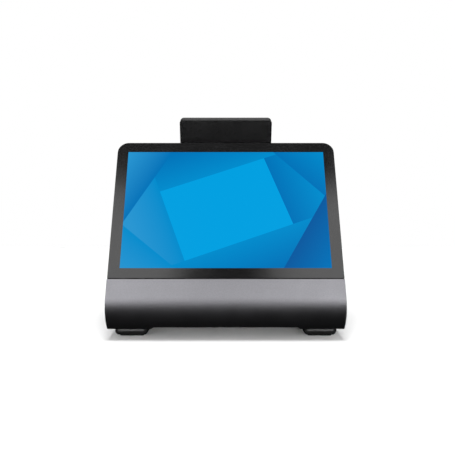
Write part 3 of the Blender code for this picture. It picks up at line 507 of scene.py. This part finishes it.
def picture_material():
    """Lit picture behind anti-glare glass."""
    sockets = {"Specular_IOR_Level": 0.02, "Emission_Strength": 1.0}
    material, tree, shader = start_material("lit_picture", (0, 0, 0), 0.30, 0.0, **sockets)
    place = add_node(tree, "ShaderNodeTexCoord", {})
    sockets = {0: place.outputs["Object"], 1: (1, 1, 0), 2: (0, -PICTURE_MIDDLE, 1)}
    here = add_node(tree, "ShaderNodeVectorMath", sockets, operation="MULTIPLY_ADD").outputs["Vector"]
    blues = {name: (*srgb(*blue), 1) for name, blue in PICTURE_BLUES.items()}
    painted = blues["bright"]
    for degrees, distance, near, far in PICTURE_FOLDS:
        turn = radians(degrees)
        fold = Vector((cos(turn), sin(turn), -distance)) / PICTURE_FADE
        sockets = {0: here, 1: fold}
        beyond = add_node(tree, "ShaderNodeVectorMath", sockets, operation="DOT_PRODUCT").outputs["Value"]
        covered = add_node(tree, "ShaderNodeMath", {0: beyond, 1: 0.0}, operation="GREATER_THAN")
        shade = add_mix(tree, beyond, blues[near], blues[far])
        painted = add_mix(tree, covered.outputs["Value"], painted, shade)
    tree.links.new(painted, shader.inputs["Emission Color"])
    return material


MATERIALS = {
    "glass": black_glass("black_glass"),
    "picture": picture_material(),
    "chin": chin_paint(),
    "housing": plastic("housing_plastic", (0.008, 0.008, 0.0086), 0.48, spread=0.02),
    "case": plastic("case_plastic", (0.004, 0.004, 0.0045), 0.4, 1800.0, 0.00002, 0.04),
    # Paler plastic for the strip on each foot's front, a painted highlight.
    "foot": plastic("foot_highlight_plastic", (0.042, 0.042, 0.0437), 0.52),
    "key": plastic("key_plastic", (0.02, 0.02, 0.0215), 0.34, 2200.0, 0.00001, 0.04),
    "rubber": rubber(),
    "steel": metal("bay_steel", (0.5, 0.51, 0.52), 0.34, (0.06, 1, 1)),
    "bright_steel": metal("pin_steel", (0.58, 0.58, 0.58), 0.24, (0.2, 1, 1)),
    "aluminium": metal("heatsink_aluminium", (0.7, 0.71, 0.72), 0.32, (1, 0.08, 1)),
    "board": circuit_board(),
    "port": plastic("port_plastic", (0.009, 0.009, 0.0095), 0.5, 2500.0),
    "tongue": plastic("tongue_plastic", (0.01, 0.09, 0.42), 0.42, 2500.0),
    "contact": metal("contact_gold", (0.8, 0.52, 0.2), 0.22, (1, 0.1, 1)),
    "film": glossy_film(),
    "screw": metal("screw_black", (0.055, 0.055, 0.058), 0.36, grain=2200.0),
    "mark": plastic("mark_print", (0.42, 0.42, 0.42), 0.55, 2500.0),
    "green_lamp": plastic("lamp_green", (0.03, 0.3, 0.06), 0.25, 2500.0),
    "amber_lamp": plastic("lamp_amber", (0.55, 0.24, 0.02), 0.25, 2500.0),
    "display_off": black_glass("display_off", 0.2),
}
SLOT_MATERIALS = {
    "cover_glass": "glass",
    "picture": "display_off",
    "chin_metal": "chin",
    "black_plastic": "housing",
    "rubber": "rubber",
    "bare_steel": "steel",
    "aluminium": "aluminium",
    "circuit_board": "board",
    "port_black": "port",
    "flex_film": "film",
    "screw_black": "screw",
}


def dress_frame_nodes():
    """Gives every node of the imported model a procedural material."""
    slots = {entry["node"]: entry["material_slot"] for entry in frame["record"]["subparts"]}
    for name, node in frame["nodes"].items():
        node.data.materials.clear()
        node.data.materials.append(MATERIALS[SLOT_MATERIALS[slots[name]]])


# ---- Touchscreen panel and chin ----


def make_panel():
    """Cover glass with a window, the picture in it, and the frame that the glass is bonded to."""
    side = SIZES["front_glass"][1].x
    outline = rounded_box(-side, side, PANEL_SEAM, GLASS_HEIGHT, 0.0006, CORNER_RADIUS, 24)
    sheet = prism("panel_glass", outline, -GLASS_THICKNESS, 0, PANEL)
    soften(sheet, 0.0002, 3)
    half_width, half_height = PICTURE_WIDTH / 2, PICTURE_HEIGHT / 2
    low, high = PICTURE_MIDDLE - half_height, PICTURE_MIDDLE + half_height
    window = (-half_width, half_width, low, high, -FAR / 10, FAR / 10)
    cut(sheet, box("window", window, PANEL))
    dress(sheet, "glass", "cover_glass", "front_glass")

    edge = 0.00002
    outline = rounded_box(-half_width + edge, half_width - edge, low + edge, high - edge)
    picture = prism("touchscreen_picture", outline, -GLASS_THICKNESS, -0.00005, PANEL)
    dress(picture, "picture", "picture")

    outline = rounded_box(-HALF_WIDTH, HALF_WIDTH, GAP, GLASS_HEIGHT, 0, CORNER_RADIUS, 24)
    ring = prism("panel_mid_frame", outline, -PANEL_FRAME_DEPTH + GAP, -GLASS_THICKNESS - GAP, PANEL)
    soften(ring, 0.0004, 3)
    half = SIZES["lcd_panel"][1].x + 0.001
    opening = (-half, half, 0.004, GLASS_HEIGHT - 0.0042, -FAR / 10, FAR / 10)
    cut(ring, box("opening", opening, PANEL))
    dress(ring, "housing", "black_plastic", "panel_frame")


def channel_cutter():
    """The shallow channel along the underside, with its sloping sides."""
    edge, slope = CHANNEL_HALF_WIDTH, CHANNEL_RISE
    low, top = FOOT_HEIGHT - slope, FOOT_HEIGHT + CHANNEL_RISE
    outline = [(-edge - slope, low), (edge + slope, low), (edge - slope, top), (slope - edge, top)]
    return prism("channel", outline, -FAR / 2, FAR / 2, FRONT_VIEW)


def make_chin():
    """Rolled sheet: flat in line with the glass, then a smooth roll under the body."""
    low = FOOT_HEIGHT - CHIN_LIP
    outer = chin_line(0, low, steps=72) + [on_panel(0, -GAP / 2)]
    inner = chin_line(CHIN_SHEET, low, steps=72) + [on_panel(CHIN_SHEET, -GAP / 2)]
    chin = prism("chin", outer + inner[::-1], -HALF_WIDTH, HALF_WIDTH, SIDE_VIEW)
    cut(chin, channel_cutter())
    soften(chin, 0.00015, 2)
    dress(chin, "chin", "chin_metal", "chin_cover")


# ---- Housings ----


def corner_cutters(inset):
    """What lies within the outlines of the panel and of the rear face, with their rounded upper corners."""
    side = HALF_WIDTH - inset
    outline = rounded_box(-side, side, -FAR, GLASS_HEIGHT - inset, 0, CORNER_RADIUS - inset, 20)
    yield prism("panel outline", outline, -FAR, FAR / 3, PANEL)
    outline = rounded_box(-side, side, -FAR, -inset, 0, REAR_CORNER_RADIUS - inset, 20)
    yield prism("rear outline", outline, -FAR, FAR, REAR_RISE)


def housing_solid(name, inset, low, front):
    """The wedge from the panel's back to the rear face, before its corners are trimmed."""
    over = on_panel(0.06, GLASS_HEIGHT)
    outline = chin_line(inset, low, steps=32) + front + [
        (over[0], over[1] + WALL),
        (FAR, over[1]),
        (FAR, low),
    ]
    return prism(name, outline, -FAR, FAR, SIDE_VIEW)


def make_rear_housing():
    inset = CHIN_SHEET + GAP
    low = SEAM_HEIGHT + GAP
    above = GLASS_HEIGHT + WALL
    front = [on_panel(inset, -GAP), on_panel(PANEL_FRAME_DEPTH, -GAP), on_panel(PANEL_FRAME_DEPTH, above)]
    housing = housing_solid("rear_shell", inset, low, front)
    trim(housing, *corner_cutters(0))
    soften(housing, 0.0022, 5, 25, 65, lambda place: place.y > SEAM_HEIGHT + 0.02 and place.x > FRONT + 0.06)
    soften(housing, 0.0004, 2, 66, 180)

    ledge = PANEL_FRAME_DEPTH + WALL
    front = [
        on_panel(inset + WALL, -WALL - GAP),
        on_panel(ledge, -WALL - GAP),
        on_panel(ledge, 0.004),
        on_panel(0.005, 0.004),
        on_panel(0.005, GLASS_HEIGHT - 0.004),
        on_panel(ledge, GLASS_HEIGHT - 0.004),
        on_panel(ledge, above),
    ]
    cavity = housing_solid("cavity", inset + WALL, low - WALL, front)
    trim(cavity, *corner_cutters(WALL))
    cut(housing, cavity)
    add_bosses(housing)
    cut(housing, *rear_cutters(), *side_cutters())
    dress(housing, "housing", "black_plastic", "rear_housing")


def add_bosses(housing):
    """Bosses on ribs inside the side walls, which the base screws run into."""
    low, high = TRAY_FLOOR + GAP, SEAM_HEIGHT + 0.010
    wall = HALF_WIDTH - WALL / 2
    holes = []
    for place in BASE_SCREWS:
        x0, x1 = (place.x, wall) if place.x > 0 else (-wall, place.x)
        span = (x0, x1, place.y - 0.002, place.y + 0.002, SEAM_HEIGHT + 2 * GAP, high - 0.001)
        join(housing, drill(place.x, place.y, 0.004, low, high, steps=28), box("rib", span))
        holes.append(drill(place.x, place.y, SCREW_HOLE, low - 0.001, low + 0.009, steps=16))
    cut(housing, merge("boss holes", holes))


def rear_cutters():
    """Doorway, vents with countersunk rims, door pin holes, and the holes behind the bracket."""
    play = 0.00035
    side = SIZES["port_door"][1].x + play
    low, high = DOOR_AXIS_UP - 0.0016, DOOR_AXIS_UP + DOOR_HEIGHT + play
    doorway = rounded_box(-side, side, low, high, 0, 0.0006, 4)
    yield prism("doorway", doorway, -WALL * 2, WALL * 2, REAR_FACE)
    through, rims = [], []
    rim = 0.0004
    for up in VENT_ROWS:
        for x0, x1 in VENT_SPANS:
            slot = slot_outline(x0, x1, up, up + VENT_HEIGHT)
            wide = slot_outline(x0 - rim, x1 + rim, up - rim, up + VENT_HEIGHT + rim)
            through.append(prism("vent", slot, -WALL, WALL * 2, REAR_FACE))
            rings = [(wide, -rim / 4), (wide, 0), (slot, rim)]
            rims.append(loft("rim", [[(x, y, z) for x, y in ring] for ring, z in rings], REAR_FACE))
    yield merge("vents", through)
    yield merge("vent rims", rims)
    reach = side + 0.004
    yield drill(0, 0, 0.00075, -reach, reach, DOOR_AXIS @ OUT_UP, 16)
    holes = [drill(x, up, SCREW_HOLE, -WALL, WALL * 2, REAR_FACE) for x, up in BRACKET_SCREWS]
    holes.append(drill(0, 0.123, 0.004, -WALL, WALL * 2, REAR_FACE))
    yield merge("bracket holes", holes)


def key_outline(node, grow=0.0):
    """Outline of a key's cap in the side view."""
    radius = KEYS[node][1]
    place = middle_of(node)
    if radius:
        return circle(place.y, place.z, radius + grow, 40)
    length, width = 0.006 + grow, 0.0024 + grow
    return slot_outline(place.y - length, place.y + length, place.z - width, place.z + width)


def side_cutters():
    """Key holes in the right wall and the lock slot in the left."""
    start, end = HALF_WIDTH - 2 * WALL, HALF_WIDTH + WALL
    for node in KEYS:
        yield prism("key hole", key_outline(node, GAP), start, end, SIDE_VIEW)
    y, z = middle_of("lock_plate").yz
    outline = rounded_box(y - 0.0037, y + 0.0037, z - 0.0018, z + 0.0018, 0.0006, 0.0006, 4)
    yield prism("lock slot", outline, -end, -start, SIDE_VIEW)


def tray_cutters():
    """Speaker slots, screw seats and screw holes in the tray's floor."""
    slots = []
    for hand in (-1, 1):
        for i in range(5):
            x = hand * (0.082 + i * 0.0055)
            outline = slot_outline(x - 0.001, x + 0.001, -0.018, 0.012)
            slots.append(prism("speaker slot", outline, 0, TRAY_FLOOR + WALL))
    yield merge("speaker slots", slots)
    yield merge("seats", [drill(x, y, 0.0034, 0, FOOT_HEIGHT + 0.0022) for x, y, _ in BASE_SCREWS])
    yield merge("holes", [drill(x, y, 0.0018, 0, TRAY_FLOOR + WALL, steps=20) for x, y, _ in BASE_SCREWS])


def make_base_tray():
    inset = CHIN_SHEET + GAP
    outline = chin_line(inset, FOOT_HEIGHT, SEAM_HEIGHT, 20) + [(FAR, SEAM_HEIGHT), (FAR, FOOT_HEIGHT)]
    tray = prism("base_tray_shell", outline, -FAR, FAR, SIDE_VIEW)
    plan = rounded_box(-HALF_WIDTH, HALF_WIDTH, -FAR, REAR, 0, REAR_CORNER_RADIUS, 20)
    trim(tray, prism("plan", plan, -FAR, FAR))
    # In the side view's frame, x is world y and y is world z.
    soften(tray, 0.0012, 4, 60, 120, lambda place: place.y < FOOT_HEIGHT + 0.001 and place.x > FRONT + 0.02)
    soften(tray, 0.0004, 2, 60, 120, lambda place: place.y > SEAM_HEIGHT - 0.001)
    above = SEAM_HEIGHT + WALL
    inside = chin_line(inset + WALL, TRAY_FLOOR, above, 12) + [(FAR, above), (FAR, TRAY_FLOOR)]
    cavity = prism("cavity", inside, -FAR, FAR, SIDE_VIEW)
    side = HALF_WIDTH - WALL
    plan = rounded_box(-side, side, -FAR, REAR - WALL, 0, REAR_CORNER_RADIUS - WALL, 16)
    trim(cavity, prism("plan", plan, -FAR, FAR))
    cut(tray, cavity, channel_cutter())
    post_top = SIZES["main_board"][0].z - GAP
    for x in (-0.066, 0.066):
        for y in (-0.022, 0.008):
            join(tray, drill(x, y, 0.0035, TRAY_FLOOR - WALL / 2, post_top, steps=24))
    cut(tray, *tray_cutters())
    dress(tray, "housing", "black_plastic", "base_tray")


# ---- Feet ----


def square_loft(name, node, steps):
    """A rounded square post on a node's middle line, through (half width, corner radius, height) steps."""
    rings = []
    for half, radius, z in steps:
        rings.append([(x, y, z) for x, y in rounded_box(-half, half, -half, half, radius, radius, 8)])
    place = middle_of(node)
    return loft(name, rings, Matrix.Translation((place.x, place.y, 0)))


def make_foot(corner):
    """A rubber block that narrows towards the counter, with a smooth, paler strip across its front as a painted
    highlight.
    """
    low, high = (point.z for point in SIZES[f"foot_{corner}"])
    steps = [
        (FOOT_HALF - 0.0004, 0.003, high),
        (FOOT_HALF, 0.003, high - 0.0004),
        (FOOT_HALF - 0.0001, 0.003, 0.0058),
        (FOOT_WAIST_HALF, 0.0026, FOOT_WAIST_HEIGHT),
        (FOOT_LOW_HALF + 0.0004, 0.0018, low + 0.0007),
        (FOOT_LOW_HALF, 0.0015, low + 0.0002),
        (FOOT_LOW_HALF - 0.0003, 0.0013, low),
    ]
    block = square_loft(f"foot_block_{corner}", f"foot_{corner}", steps)
    # The strip's paler plastic is a painted highlight: the lit band of the foot's front.
    half, bottom, top = FOOT_HIGHLIGHT_STRIP
    face = FOOT_HALF + 0.00015
    span = (-half, half, -face, -face + 0.0006, bottom, top)
    strip = box(f"foot_highlight_strip_{corner}", span, block.matrix_world.copy())
    dress(block, "rubber", "black_plastic", f"foot_{corner}", sharp=50)
    dress(soften(strip, 0.0001, 2), "foot", "black_plastic")


def make_foot_pad(corner):
    """Rubber pad with grooves across its sole."""
    high = SIZES[f"foot_pad_{corner}"][1].z
    profile = [(0.0120, 0), (0.0124, 0.0002), (0.0126, 0.0005), (0.0126, high - 0.0002), (0.0123, high)]
    steps = [(half, 0.002, z) for half, z in profile]
    pad = square_loft(f"foot_rubber_{corner}", f"foot_pad_{corner}", steps)
    grooves = []
    for i in range(6):
        y = (i - 2.5) * 0.003
        outline = slot_outline(-0.009, 0.009, y - 0.0005, y + 0.0005, 4)
        grooves.append(prism("groove", outline, -0.001, 0.0004, pad.matrix_world.copy()))
    cut(pad, merge("grooves", grooves))
    dress(pad, "rubber", "rubber", f"foot_pad_{corner}")


def make_feet():
    for corner in ("front_left", "front_right", "rear_left", "rear_right"):
        make_foot(corner)
        make_foot_pad(corner)


# ---- Door, bay and connectors ----


def make_port_door():
    half = WALL / 2
    profile = arc((0, 0), half, pi, 2 * pi, 16) + [(half, DOOR_HEIGHT), (-half, DOOR_HEIGHT)]
    side = SIZES["port_door"][1].x
    door = prism("port_door_panel", profile, -side, side, DOOR_AXIS @ OUT_UP)
    notch = rounded_box(-0.036, 0.036, -WALL * 2, 0.009, 0, 0.003, 10)
    cut(door, prism("notch", notch, -WALL * 2, WALL * 2, DOOR_AXIS))
    cut(door, drill(0, DOOR_HEIGHT + 0.002, 0.010, -0.01, 0.01, DOOR_AXIS, 56))
    soften(door, 0.0004, 3, 50)
    dress(door, "housing", "black_plastic", "port_door", body="port_flap")


def make_bay_edges():
    """The steel bay keeps its folded shape, with its sheared edges eased."""
    bay = frame["nodes"]["port_bay"]
    eased = bay.modifiers.new("eased edges", "BEVEL")
    eased.width = 0.0002
    eased.segments = 2
    eased.limit_method = "ANGLE"
    eased.angle_limit = radians(60)


def keyed_mouth(x, half, key, low, step, high):
    """Outline of a modular socket's opening, with room for the plug's latch below it."""
    return [
        (x - half, low + step),
        (x - key, low + step),
        (x - key, low),
        (x + key, low),
        (x + key, low + step),
        (x + half, low + step),
        (x + half, high),
        (x - half, high),
    ]


def make_socket(node, name, mouths, material, slot, depth):
    """A connector's shell, the size of its node, with mouths of a given depth."""
    low, high = SIZES[node]
    shell = soften(box(name, (low.x, high.x, low.y, high.y, low.z, high.z)), 0.0003, 2)
    for outline in mouths:
        cut(shell, prism("mouth", outline, -high.y - 0.002, -high.y + depth, FRONT_VIEW))
    dress(shell, material, slot, node)


def make_block(name, x, half, y, z, width, material):
    """A small plain piece in a connector, with its front and rear in y and its bottom and top in z."""
    piece = soften(box(name, (x - half, x + half, *y, *z)), width, 2)
    dress(piece, material, "port_black")


def make_contacts(name, count, pitch, x, y, z, size=0.0004):
    """A row of flat gold springs."""
    blades = []
    for i in range(count):
        centre = x + (i - (count - 1) / 2) * pitch
        blades.append(box("blade", (centre - size / 2, centre + size / 2, *y, z, z + 0.0003)))
    row = merge(name, blades)
    dress(row, "contact", "bare_steel")


def make_usb_stack(node):
    low, x, rear = SIZES[node][0].z, middle_of(node).x, SIZES[node][1].y
    levels = (low + 0.0013, low + 0.0092)
    mouths = [rounded_box(x - 0.00625, x + 0.00625, z, z + 0.0051, 0.0003, 0.0003, 3) for z in levels]
    make_socket(node, f"{node}_shell", mouths, "bright_steel", "bare_steel", 0.0145)
    for i, z in enumerate(levels):
        depth, height = (rear - 0.0144, rear - 0.002), (z + 0.0028, z + 0.0046)
        make_block(f"{node}_tongue_{i + 1}", x, 0.0055, depth, height, 0.0002, "tongue")
        depth = (rear - 0.013, rear - 0.0028)
        make_contacts(f"{node}_contacts_{i + 1}", 4, 0.0022, x, depth, z + 0.0024, 0.001)


def make_usb_c():
    low, high = SIZES["usb_c_port"]
    x, _, z = middle_of("usb_c_port")
    outline = slot_outline(low.x, high.x, low.z, high.z, 12)
    shell = prism("usb_c_shell", outline, -high.y, -low.y, FRONT_VIEW)
    mouth = slot_outline(x - 0.0041, x + 0.0041, z - 0.00125, z + 0.00125, 10)
    cut(shell, prism("mouth", mouth, -high.y - 0.001, -high.y + 0.0055, FRONT_VIEW))
    soften(shell, 0.00012, 2, 60)
    dress(shell, "bright_steel", "bare_steel", "usb_c_port")
    depth, height = (high.y - 0.0054, high.y - 0.001), (z - 0.00035, z + 0.00035)
    make_block("usb_c_tongue", x, 0.0033, depth, height, 0.0001, "port")


def make_network_jack():
    x, rear = middle_of("ethernet_jack").x, SIZES["ethernet_jack"][1].y
    low = SIZES["ethernet_jack"][0].z + 0.002
    high = low + 0.0082
    mouth = keyed_mouth(x, 0.0059, 0.0031, low, 0.0017, high)
    make_socket("ethernet_jack", "network_shell", [mouth], "bright_steel", "bare_steel", 0.015)
    make_contacts("network_contacts", 8, 0.00102, x, (rear - 0.013, rear - 0.003), high - 0.0009)
    for name, offset in (("green_lamp", -0.0058), ("amber_lamp", 0.0058)):
        depth, height = (rear - 0.001, rear + 0.0002), (high + 0.0008, high + 0.0023)
        make_block(f"network_{name}", x + offset, 0.0014, depth, height, 0.0002, name)


def make_drawer_jack():
    x, rear = middle_of("drawer_jack").x, SIZES["drawer_jack"][1].y
    low = SIZES["drawer_jack"][0].z + 0.0022
    high = low + 0.0068
    mouth = keyed_mouth(x, 0.0049, 0.0026, low, 0.0014, high)
    make_socket("drawer_jack", "drawer_socket", [mouth], "port", "port_black", 0.013)
    make_contacts("drawer_contacts", 6, 0.00102, x, (rear - 0.012, rear - 0.003), high - 0.0009)


def make_power_jack():
    x, _, z = middle_of("dc_jack")
    rear = SIZES["dc_jack"][1].y
    make_socket("dc_jack", "power_socket", [circle(x, z, 0.0032, 40)], "port", "port_black", 0.010)
    tip = Matrix.Translation((x, rear - 0.001, z)) @ Matrix.Rotation(-pi / 2, 4, "X")
    profile = [(0, 0), (0.0006, 0), (0.001, -0.0006), (0.001, -0.0088), (0, -0.0088)]
    dress(turned("power_socket_pin", profile, tip, 24), "bright_steel", "bare_steel")


# ---- Screws, hinge and bracket ----


def make_screw(node, name, matrix, length):
    """Pan-head screw with a cross recess. Its head is on +z."""
    head = [(0, 0.0016), (0.0010, 0.00155), (0.0018, 0.0013), (0.0024, 0.0009), (0.0028, 0.0003)]
    shank = [(0.0028, 0), (0.0013, 0), (0.0013, -length + 0.0008), (0.0008, -length), (0, -length)]
    screw = turned(name, head + shank, matrix, 36)
    recesses = []
    for a, b in ((0.0015, 0.0003), (0.0003, 0.0015)):
        outline = slot_outline(-a, a, -b, b, 4)
        wide = [(x, y, 0.0018) for x, y in outline]
        narrow = [(x * 0.55, y * 0.7, 0.0005) for x, y in outline]
        recesses.append(loft("recess", [wide, narrow], matrix))
    cut(screw, *recesses)
    dress(screw, "screw", "screw_black", node)


def make_screws():
    turn = Matrix.Rotation(pi, 4, "X")
    for i, (x, y, _) in enumerate(BASE_SCREWS, 1):
        seat = Matrix.Translation((x, y, FOOT_HEIGHT + 0.0022 - GAP))
        make_screw(f"base_screw_{i}", f"tray_screw_{i}", seat @ turn, 0.0085)
    for i, (x, up) in enumerate(BRACKET_SCREWS, 1):
        seat = Matrix.Translation((x, up, -0.003 - GAP))
        make_screw(f"bracket_screw_{i}", f"hinge_screw_{i}", REAR_FACE @ seat @ turn, 0.0075)


def hinge_bore():
    return drill(0, 0, PIN_BORE, -FAR / 5, FAR / 5, HINGE_LINE)


def make_bracket():
    """Hinge bracket: a plate with two ears that widen smoothly into it."""
    outline = rounded_box(-0.036, 0.036, 0.110, HINGE_UP - 0.001, 0.004, 0.002, 10)
    plate = soften(prism("hinge_bracket", outline, -0.003, -GAP, REAR_FACE), 0.0005, 3)
    start = SIZES["hinge_washer_right"][1].x + GAP
    ear = arc((0, 0), HINGE_RADIUS, -pi / 2, pi / 2, 28)
    ear += [(0.0015 - HINGE_OUT, HINGE_RADIUS - 0.0015), (0.0015 - HINGE_OUT, -0.012)]
    for low in (-start - 0.004, start):
        join(plate, soften(prism("ear", ear, low, low + 0.004, HINGE_LINE), 0.0003, 3, 60))
    cut(plate, hinge_bore())
    holes = [drill(x, up, SCREW_HOLE, -WALL * 2, WALL, REAR_FACE, 24) for x, up in BRACKET_SCREWS]
    cut(plate, merge("holes", holes))
    dress(plate, "case", "black_plastic", "display_bracket")


def make_hinge_pin():
    """Headed pin with a collar at its other end, and the two friction washers on it."""
    low, high = (corner.x for corner in SIZES["hinge_pin"])
    head = [(0, high), (0.0021, high), (0.0026, high - 0.0003), (0.0028, high - 0.0008)]
    shaft = [(0.0028, high - 0.0014), (0.0016, high - 0.0014), (0.0016, low + 0.001)]
    collar = [(0.0026, low + 0.001), (0.0026, low + 0.0003), (0.0023, low), (0, low)]
    pin = turned("display_hinge_pin", head + shaft + collar, HINGE_LINE, 40)
    dress(pin, "bright_steel", "bare_steel", "hinge_pin")
    for hand in ("left", "right"):
        low, high = (corner.x for corner in SIZES[f"hinge_washer_{hand}"])
        ring = prism(f"friction_washer_{hand}", circle(0, 0, 0.004, 40), low, high, HINGE_LINE)
        cut(soften(ring, 0.00012, 2), hinge_bore())
        dress(ring, "bright_steel", "bare_steel", f"hinge_washer_{hand}")


# ---- Customer display ----


def display_outline(inset, corner, steps):
    side = SIZES["customer_case"][1].x - inset
    return rounded_box(-side, side, CUSTOMER_BOTTOM + inset, CUSTOMER_TOP - inset, corner, corner, steps)


def make_customer_display():
    """Rounded case with a softened rim and a hinge barrel, and a dark window in it."""
    half = CUSTOMER_THICKNESS / 2
    wall = CUSTOMER_WALL
    outline = display_outline(0, CUSTOMER_CORNER, 20)
    case = soften(prism("customer_display_case", outline, -half, half, CUSTOMER_AXIS), 0.0014, 5, 60)
    inside = display_outline(wall, CUSTOMER_CORNER - wall / 2, 14)
    cut(case, prism("cavity", inside, -half - 0.002, half - wall, CUSTOMER_AXIS))
    end = SIZES["hinge_washer_right"][0].x - GAP
    barrel = soften(prism("barrel", circle(0, 0, HINGE_RADIUS, 48), -end, end, HINGE_LINE), 0.0004, 3, 60)
    reach = end - 0.0005
    neck = box("neck", (-reach, reach, 0, CUSTOMER_BOTTOM + wall * 0.7, -0.003, 0.003), CUSTOMER_AXIS)
    join(case, barrel, neck)
    cut(case, hinge_bore())
    dress(case, "case", "black_plastic", "customer_case", body="customer_display")

    outline = display_outline(wall + GAP, CUSTOMER_CORNER - wall / 2 - GAP, 14)
    face = -half + 0.0004
    window = soften(prism("customer_window", outline, face, face + 0.0014, CUSTOMER_AXIS), 0.0002, 2, 60)
    dress(window, "glass", "cover_glass", "customer_glass", body="customer_display")


# ---- Keys ----


def make_keys():
    """Caps with crowned faces and their printed marks."""
    face = HALF_WIDTH - 0.0001
    inner = HALF_WIDTH - WALL - GAP
    flange = inner - 0.0012
    for node, (body, _) in KEYS.items():
        cap = prism(f"{node}_cap", key_outline(node), flange + 0.0006, face, SIDE_VIEW)
        soften(cap, 0.0004, 4, 60)
        join(cap, prism("flange", key_outline(node, 0.001), flange, inner, SIDE_VIEW))
        dress(cap, "key", "black_plastic", node, body=body)
        for i, mark in enumerate(key_marks(node)):
            piece = prism(f"{node}_mark_{i + 1}", mark, face - 0.0002, face + 0.00003, SIDE_VIEW)
            dress(piece, "mark", "black_plastic", body=body)


def key_marks(node):
    """Outlines of the usual power, plus and minus signs."""
    y, z = middle_of(node).yz
    thick, long = 0.00018, 0.0009
    if node == "power_button":
        opening = radians(38)
        start, end = pi / 2 + opening, pi / 2 + 2 * pi - opening
        ring = arc((y, z), 0.0017, start, end, 40) + arc((y, z), 0.0017 - 2 * thick, end, start, 40)
        return [ring, rounded_box(y - thick, y + thick, z + 0.0004, z + 0.0021)]
    bars = [rounded_box(y - long, y + long, z - thick, z + thick)]
    if node == "volume_up_button":
        bars.append(rounded_box(y - thick, y + thick, z + thick, z + long))
        bars.append(rounded_box(y - thick, y + thick, z - long, z - thick))
    return bars


# ---- Studio ----


def make_camera():
    """At the height of a seated eye, in front of the terminal and looking slightly down."""
    data = bpy.data.cameras.new("camera")
    data.lens = 44.89
    data.sensor_width = 36.0
    data.shift_x = 0.0038
    data.clip_start = 0.01
    camera = bpy.data.objects.new("camera", data)
    bpy.context.scene.collection.objects.link(camera)
    pitch = radians(4.958)
    camera.location = (0, -0.6328, 0.1627)
    camera.rotation_euler = (pi / 2 - pitch, 0, 0)
    bpy.context.scene.camera = camera


def make_area_light(name, place, target, size, power, diffuse=True, glossy=True):
    data = bpy.data.lights.new(name, "AREA")
    data.shape = "RECTANGLE"
    data.size, data.size_y = size
    data.energy = power
    lamp = bpy.data.objects.new(name, data)
    bpy.context.scene.collection.objects.link(lamp)
    lamp.location = place
    lamp.rotation_euler = (Vector(target) - Vector(place)).to_track_quat("-Z", "Y").to_euler()
    lamp.visible_camera = False
    lamp.visible_diffuse = diffuse
    lamp.visible_glossy = glossy


def make_lights():
    """A large softbox overhead for the shadows, and three that show only as reflections."""
    make_area_light("overhead", (0, -0.60, 3.0), (0, 0, 0), (1.0, 1.0), 60, glossy=False)
    for name, hand in (("left", -1), ("right", 1)):
        place = (hand * 0.95, -2.1, 1.51)
        make_area_light(f"strip_{name}", place, (0, -0.05, 0.12), (1.15, 2.22), 20.5, diffuse=False)
    make_area_light("back", (0, 1.8, 2.6), (0, 0.05, 0.20), (2.4, 1.2), 16, diffuse=False)


def sky_ramp(tree, axis, stops):
    """A grey level that depends on one component, from -1 to 1, of the direction a ray leaves in."""
    place = add_node(tree, "ShaderNodeTexCoord", {}).outputs["Generated"]
    split = add_node(tree, "ShaderNodeSeparateXYZ", {"Vector": place})
    spread = add_node(tree, "ShaderNodeMapRange", {"Value": split.outputs[axis], "From Min": -1.0})
    ramp = add_node(tree, "ShaderNodeValToRGB", {"Fac": spread.outputs["Result"]})
    elements = ramp.color_ramp.elements
    while len(elements) < len(stops):
        elements.new(0.5)
    for element, (position, level) in zip(elements, stops):
        element.position = (position + 1) / 2
        element.color = (level, level, level, 1)
    return ramp.outputs["Color"]


def add_backdrop(tree, surface, ray, colour, strength):
    """Shows another backdrop to one kind of ray."""
    other = add_node(tree, "ShaderNodeBackground", {"Color": colour, "Strength": strength})
    share = add_node(tree, "ShaderNodeLightPath", {}).outputs[ray]
    mix = add_node(tree, "ShaderNodeMixShader", {0: share, 1: surface, 2: other.outputs["Background"]})
    return mix.outputs["Shader"]


def make_world():
    """A white backdrop. Reflections see a dark horizon under a pale ceiling, and most light is low."""
    world = bpy.data.worlds.new("studio")
    bpy.context.scene.world = world
    world.use_nodes = True
    tree = world.node_tree
    back = tree.nodes["Background"]
    seen = sky_ramp(tree, "Z", [(-0.06, 0.008), (0.30, 0.10), (0.74, 0.13), (0.88, 0.23)])
    set_sockets(tree, back, {"Color": seen})
    height = sky_ramp(tree, "Z", [(0.0, 1.0), (0.21, 1.0), (0.30, 0.10), (1.0, 0.06)])
    facing = sky_ramp(tree, "Y", [(-0.70, 1.0), (-0.35, 0.45), (1.0, 0.45)])
    fill = add_node(tree, "ShaderNodeVectorMath", {0: height, 1: facing}, operation="MULTIPLY")
    surface = add_backdrop(tree, back.outputs["Background"], "Is Diffuse Ray", fill.outputs["Vector"], 10.0)
    surface = add_backdrop(tree, surface, "Is Camera Ray", (1, 1, 1, 1), 1.0)
    set_sockets(tree, tree.nodes["World Output"], {"Surface": surface})


def make_floor():
    mesh = bpy.data.meshes.new("floor")
    half = 0.7
    corners = [(x * half, y * half, 0) for x, y in ((-1, -1), (1, -1), (1, 1), (-1, 1))]
    mesh.from_pydata(corners, [], [(0, 1, 2, 3)])
    floor = add_object("floor", mesh)
    mesh.materials.append(floor_material())
    floor.visible_glossy = False


def set_view():
    view = bpy.context.scene.view_settings
    view.view_transform = "Standard"
    view.look = "None"


make_camera()
dress_frame_nodes()
make_panel()
make_chin()
make_rear_housing()
make_base_tray()
make_feet()
make_port_door()
make_bay_edges()
for stack in ("usb_stack_outer", "usb_stack_inner"):
    make_usb_stack(stack)
make_usb_c()
make_network_jack()
make_drawer_jack()
make_power_jack()
make_screws()
make_bracket()
make_hinge_pin()
make_customer_display()
make_keys()
make_floor()
make_lights()
make_world()
set_view()
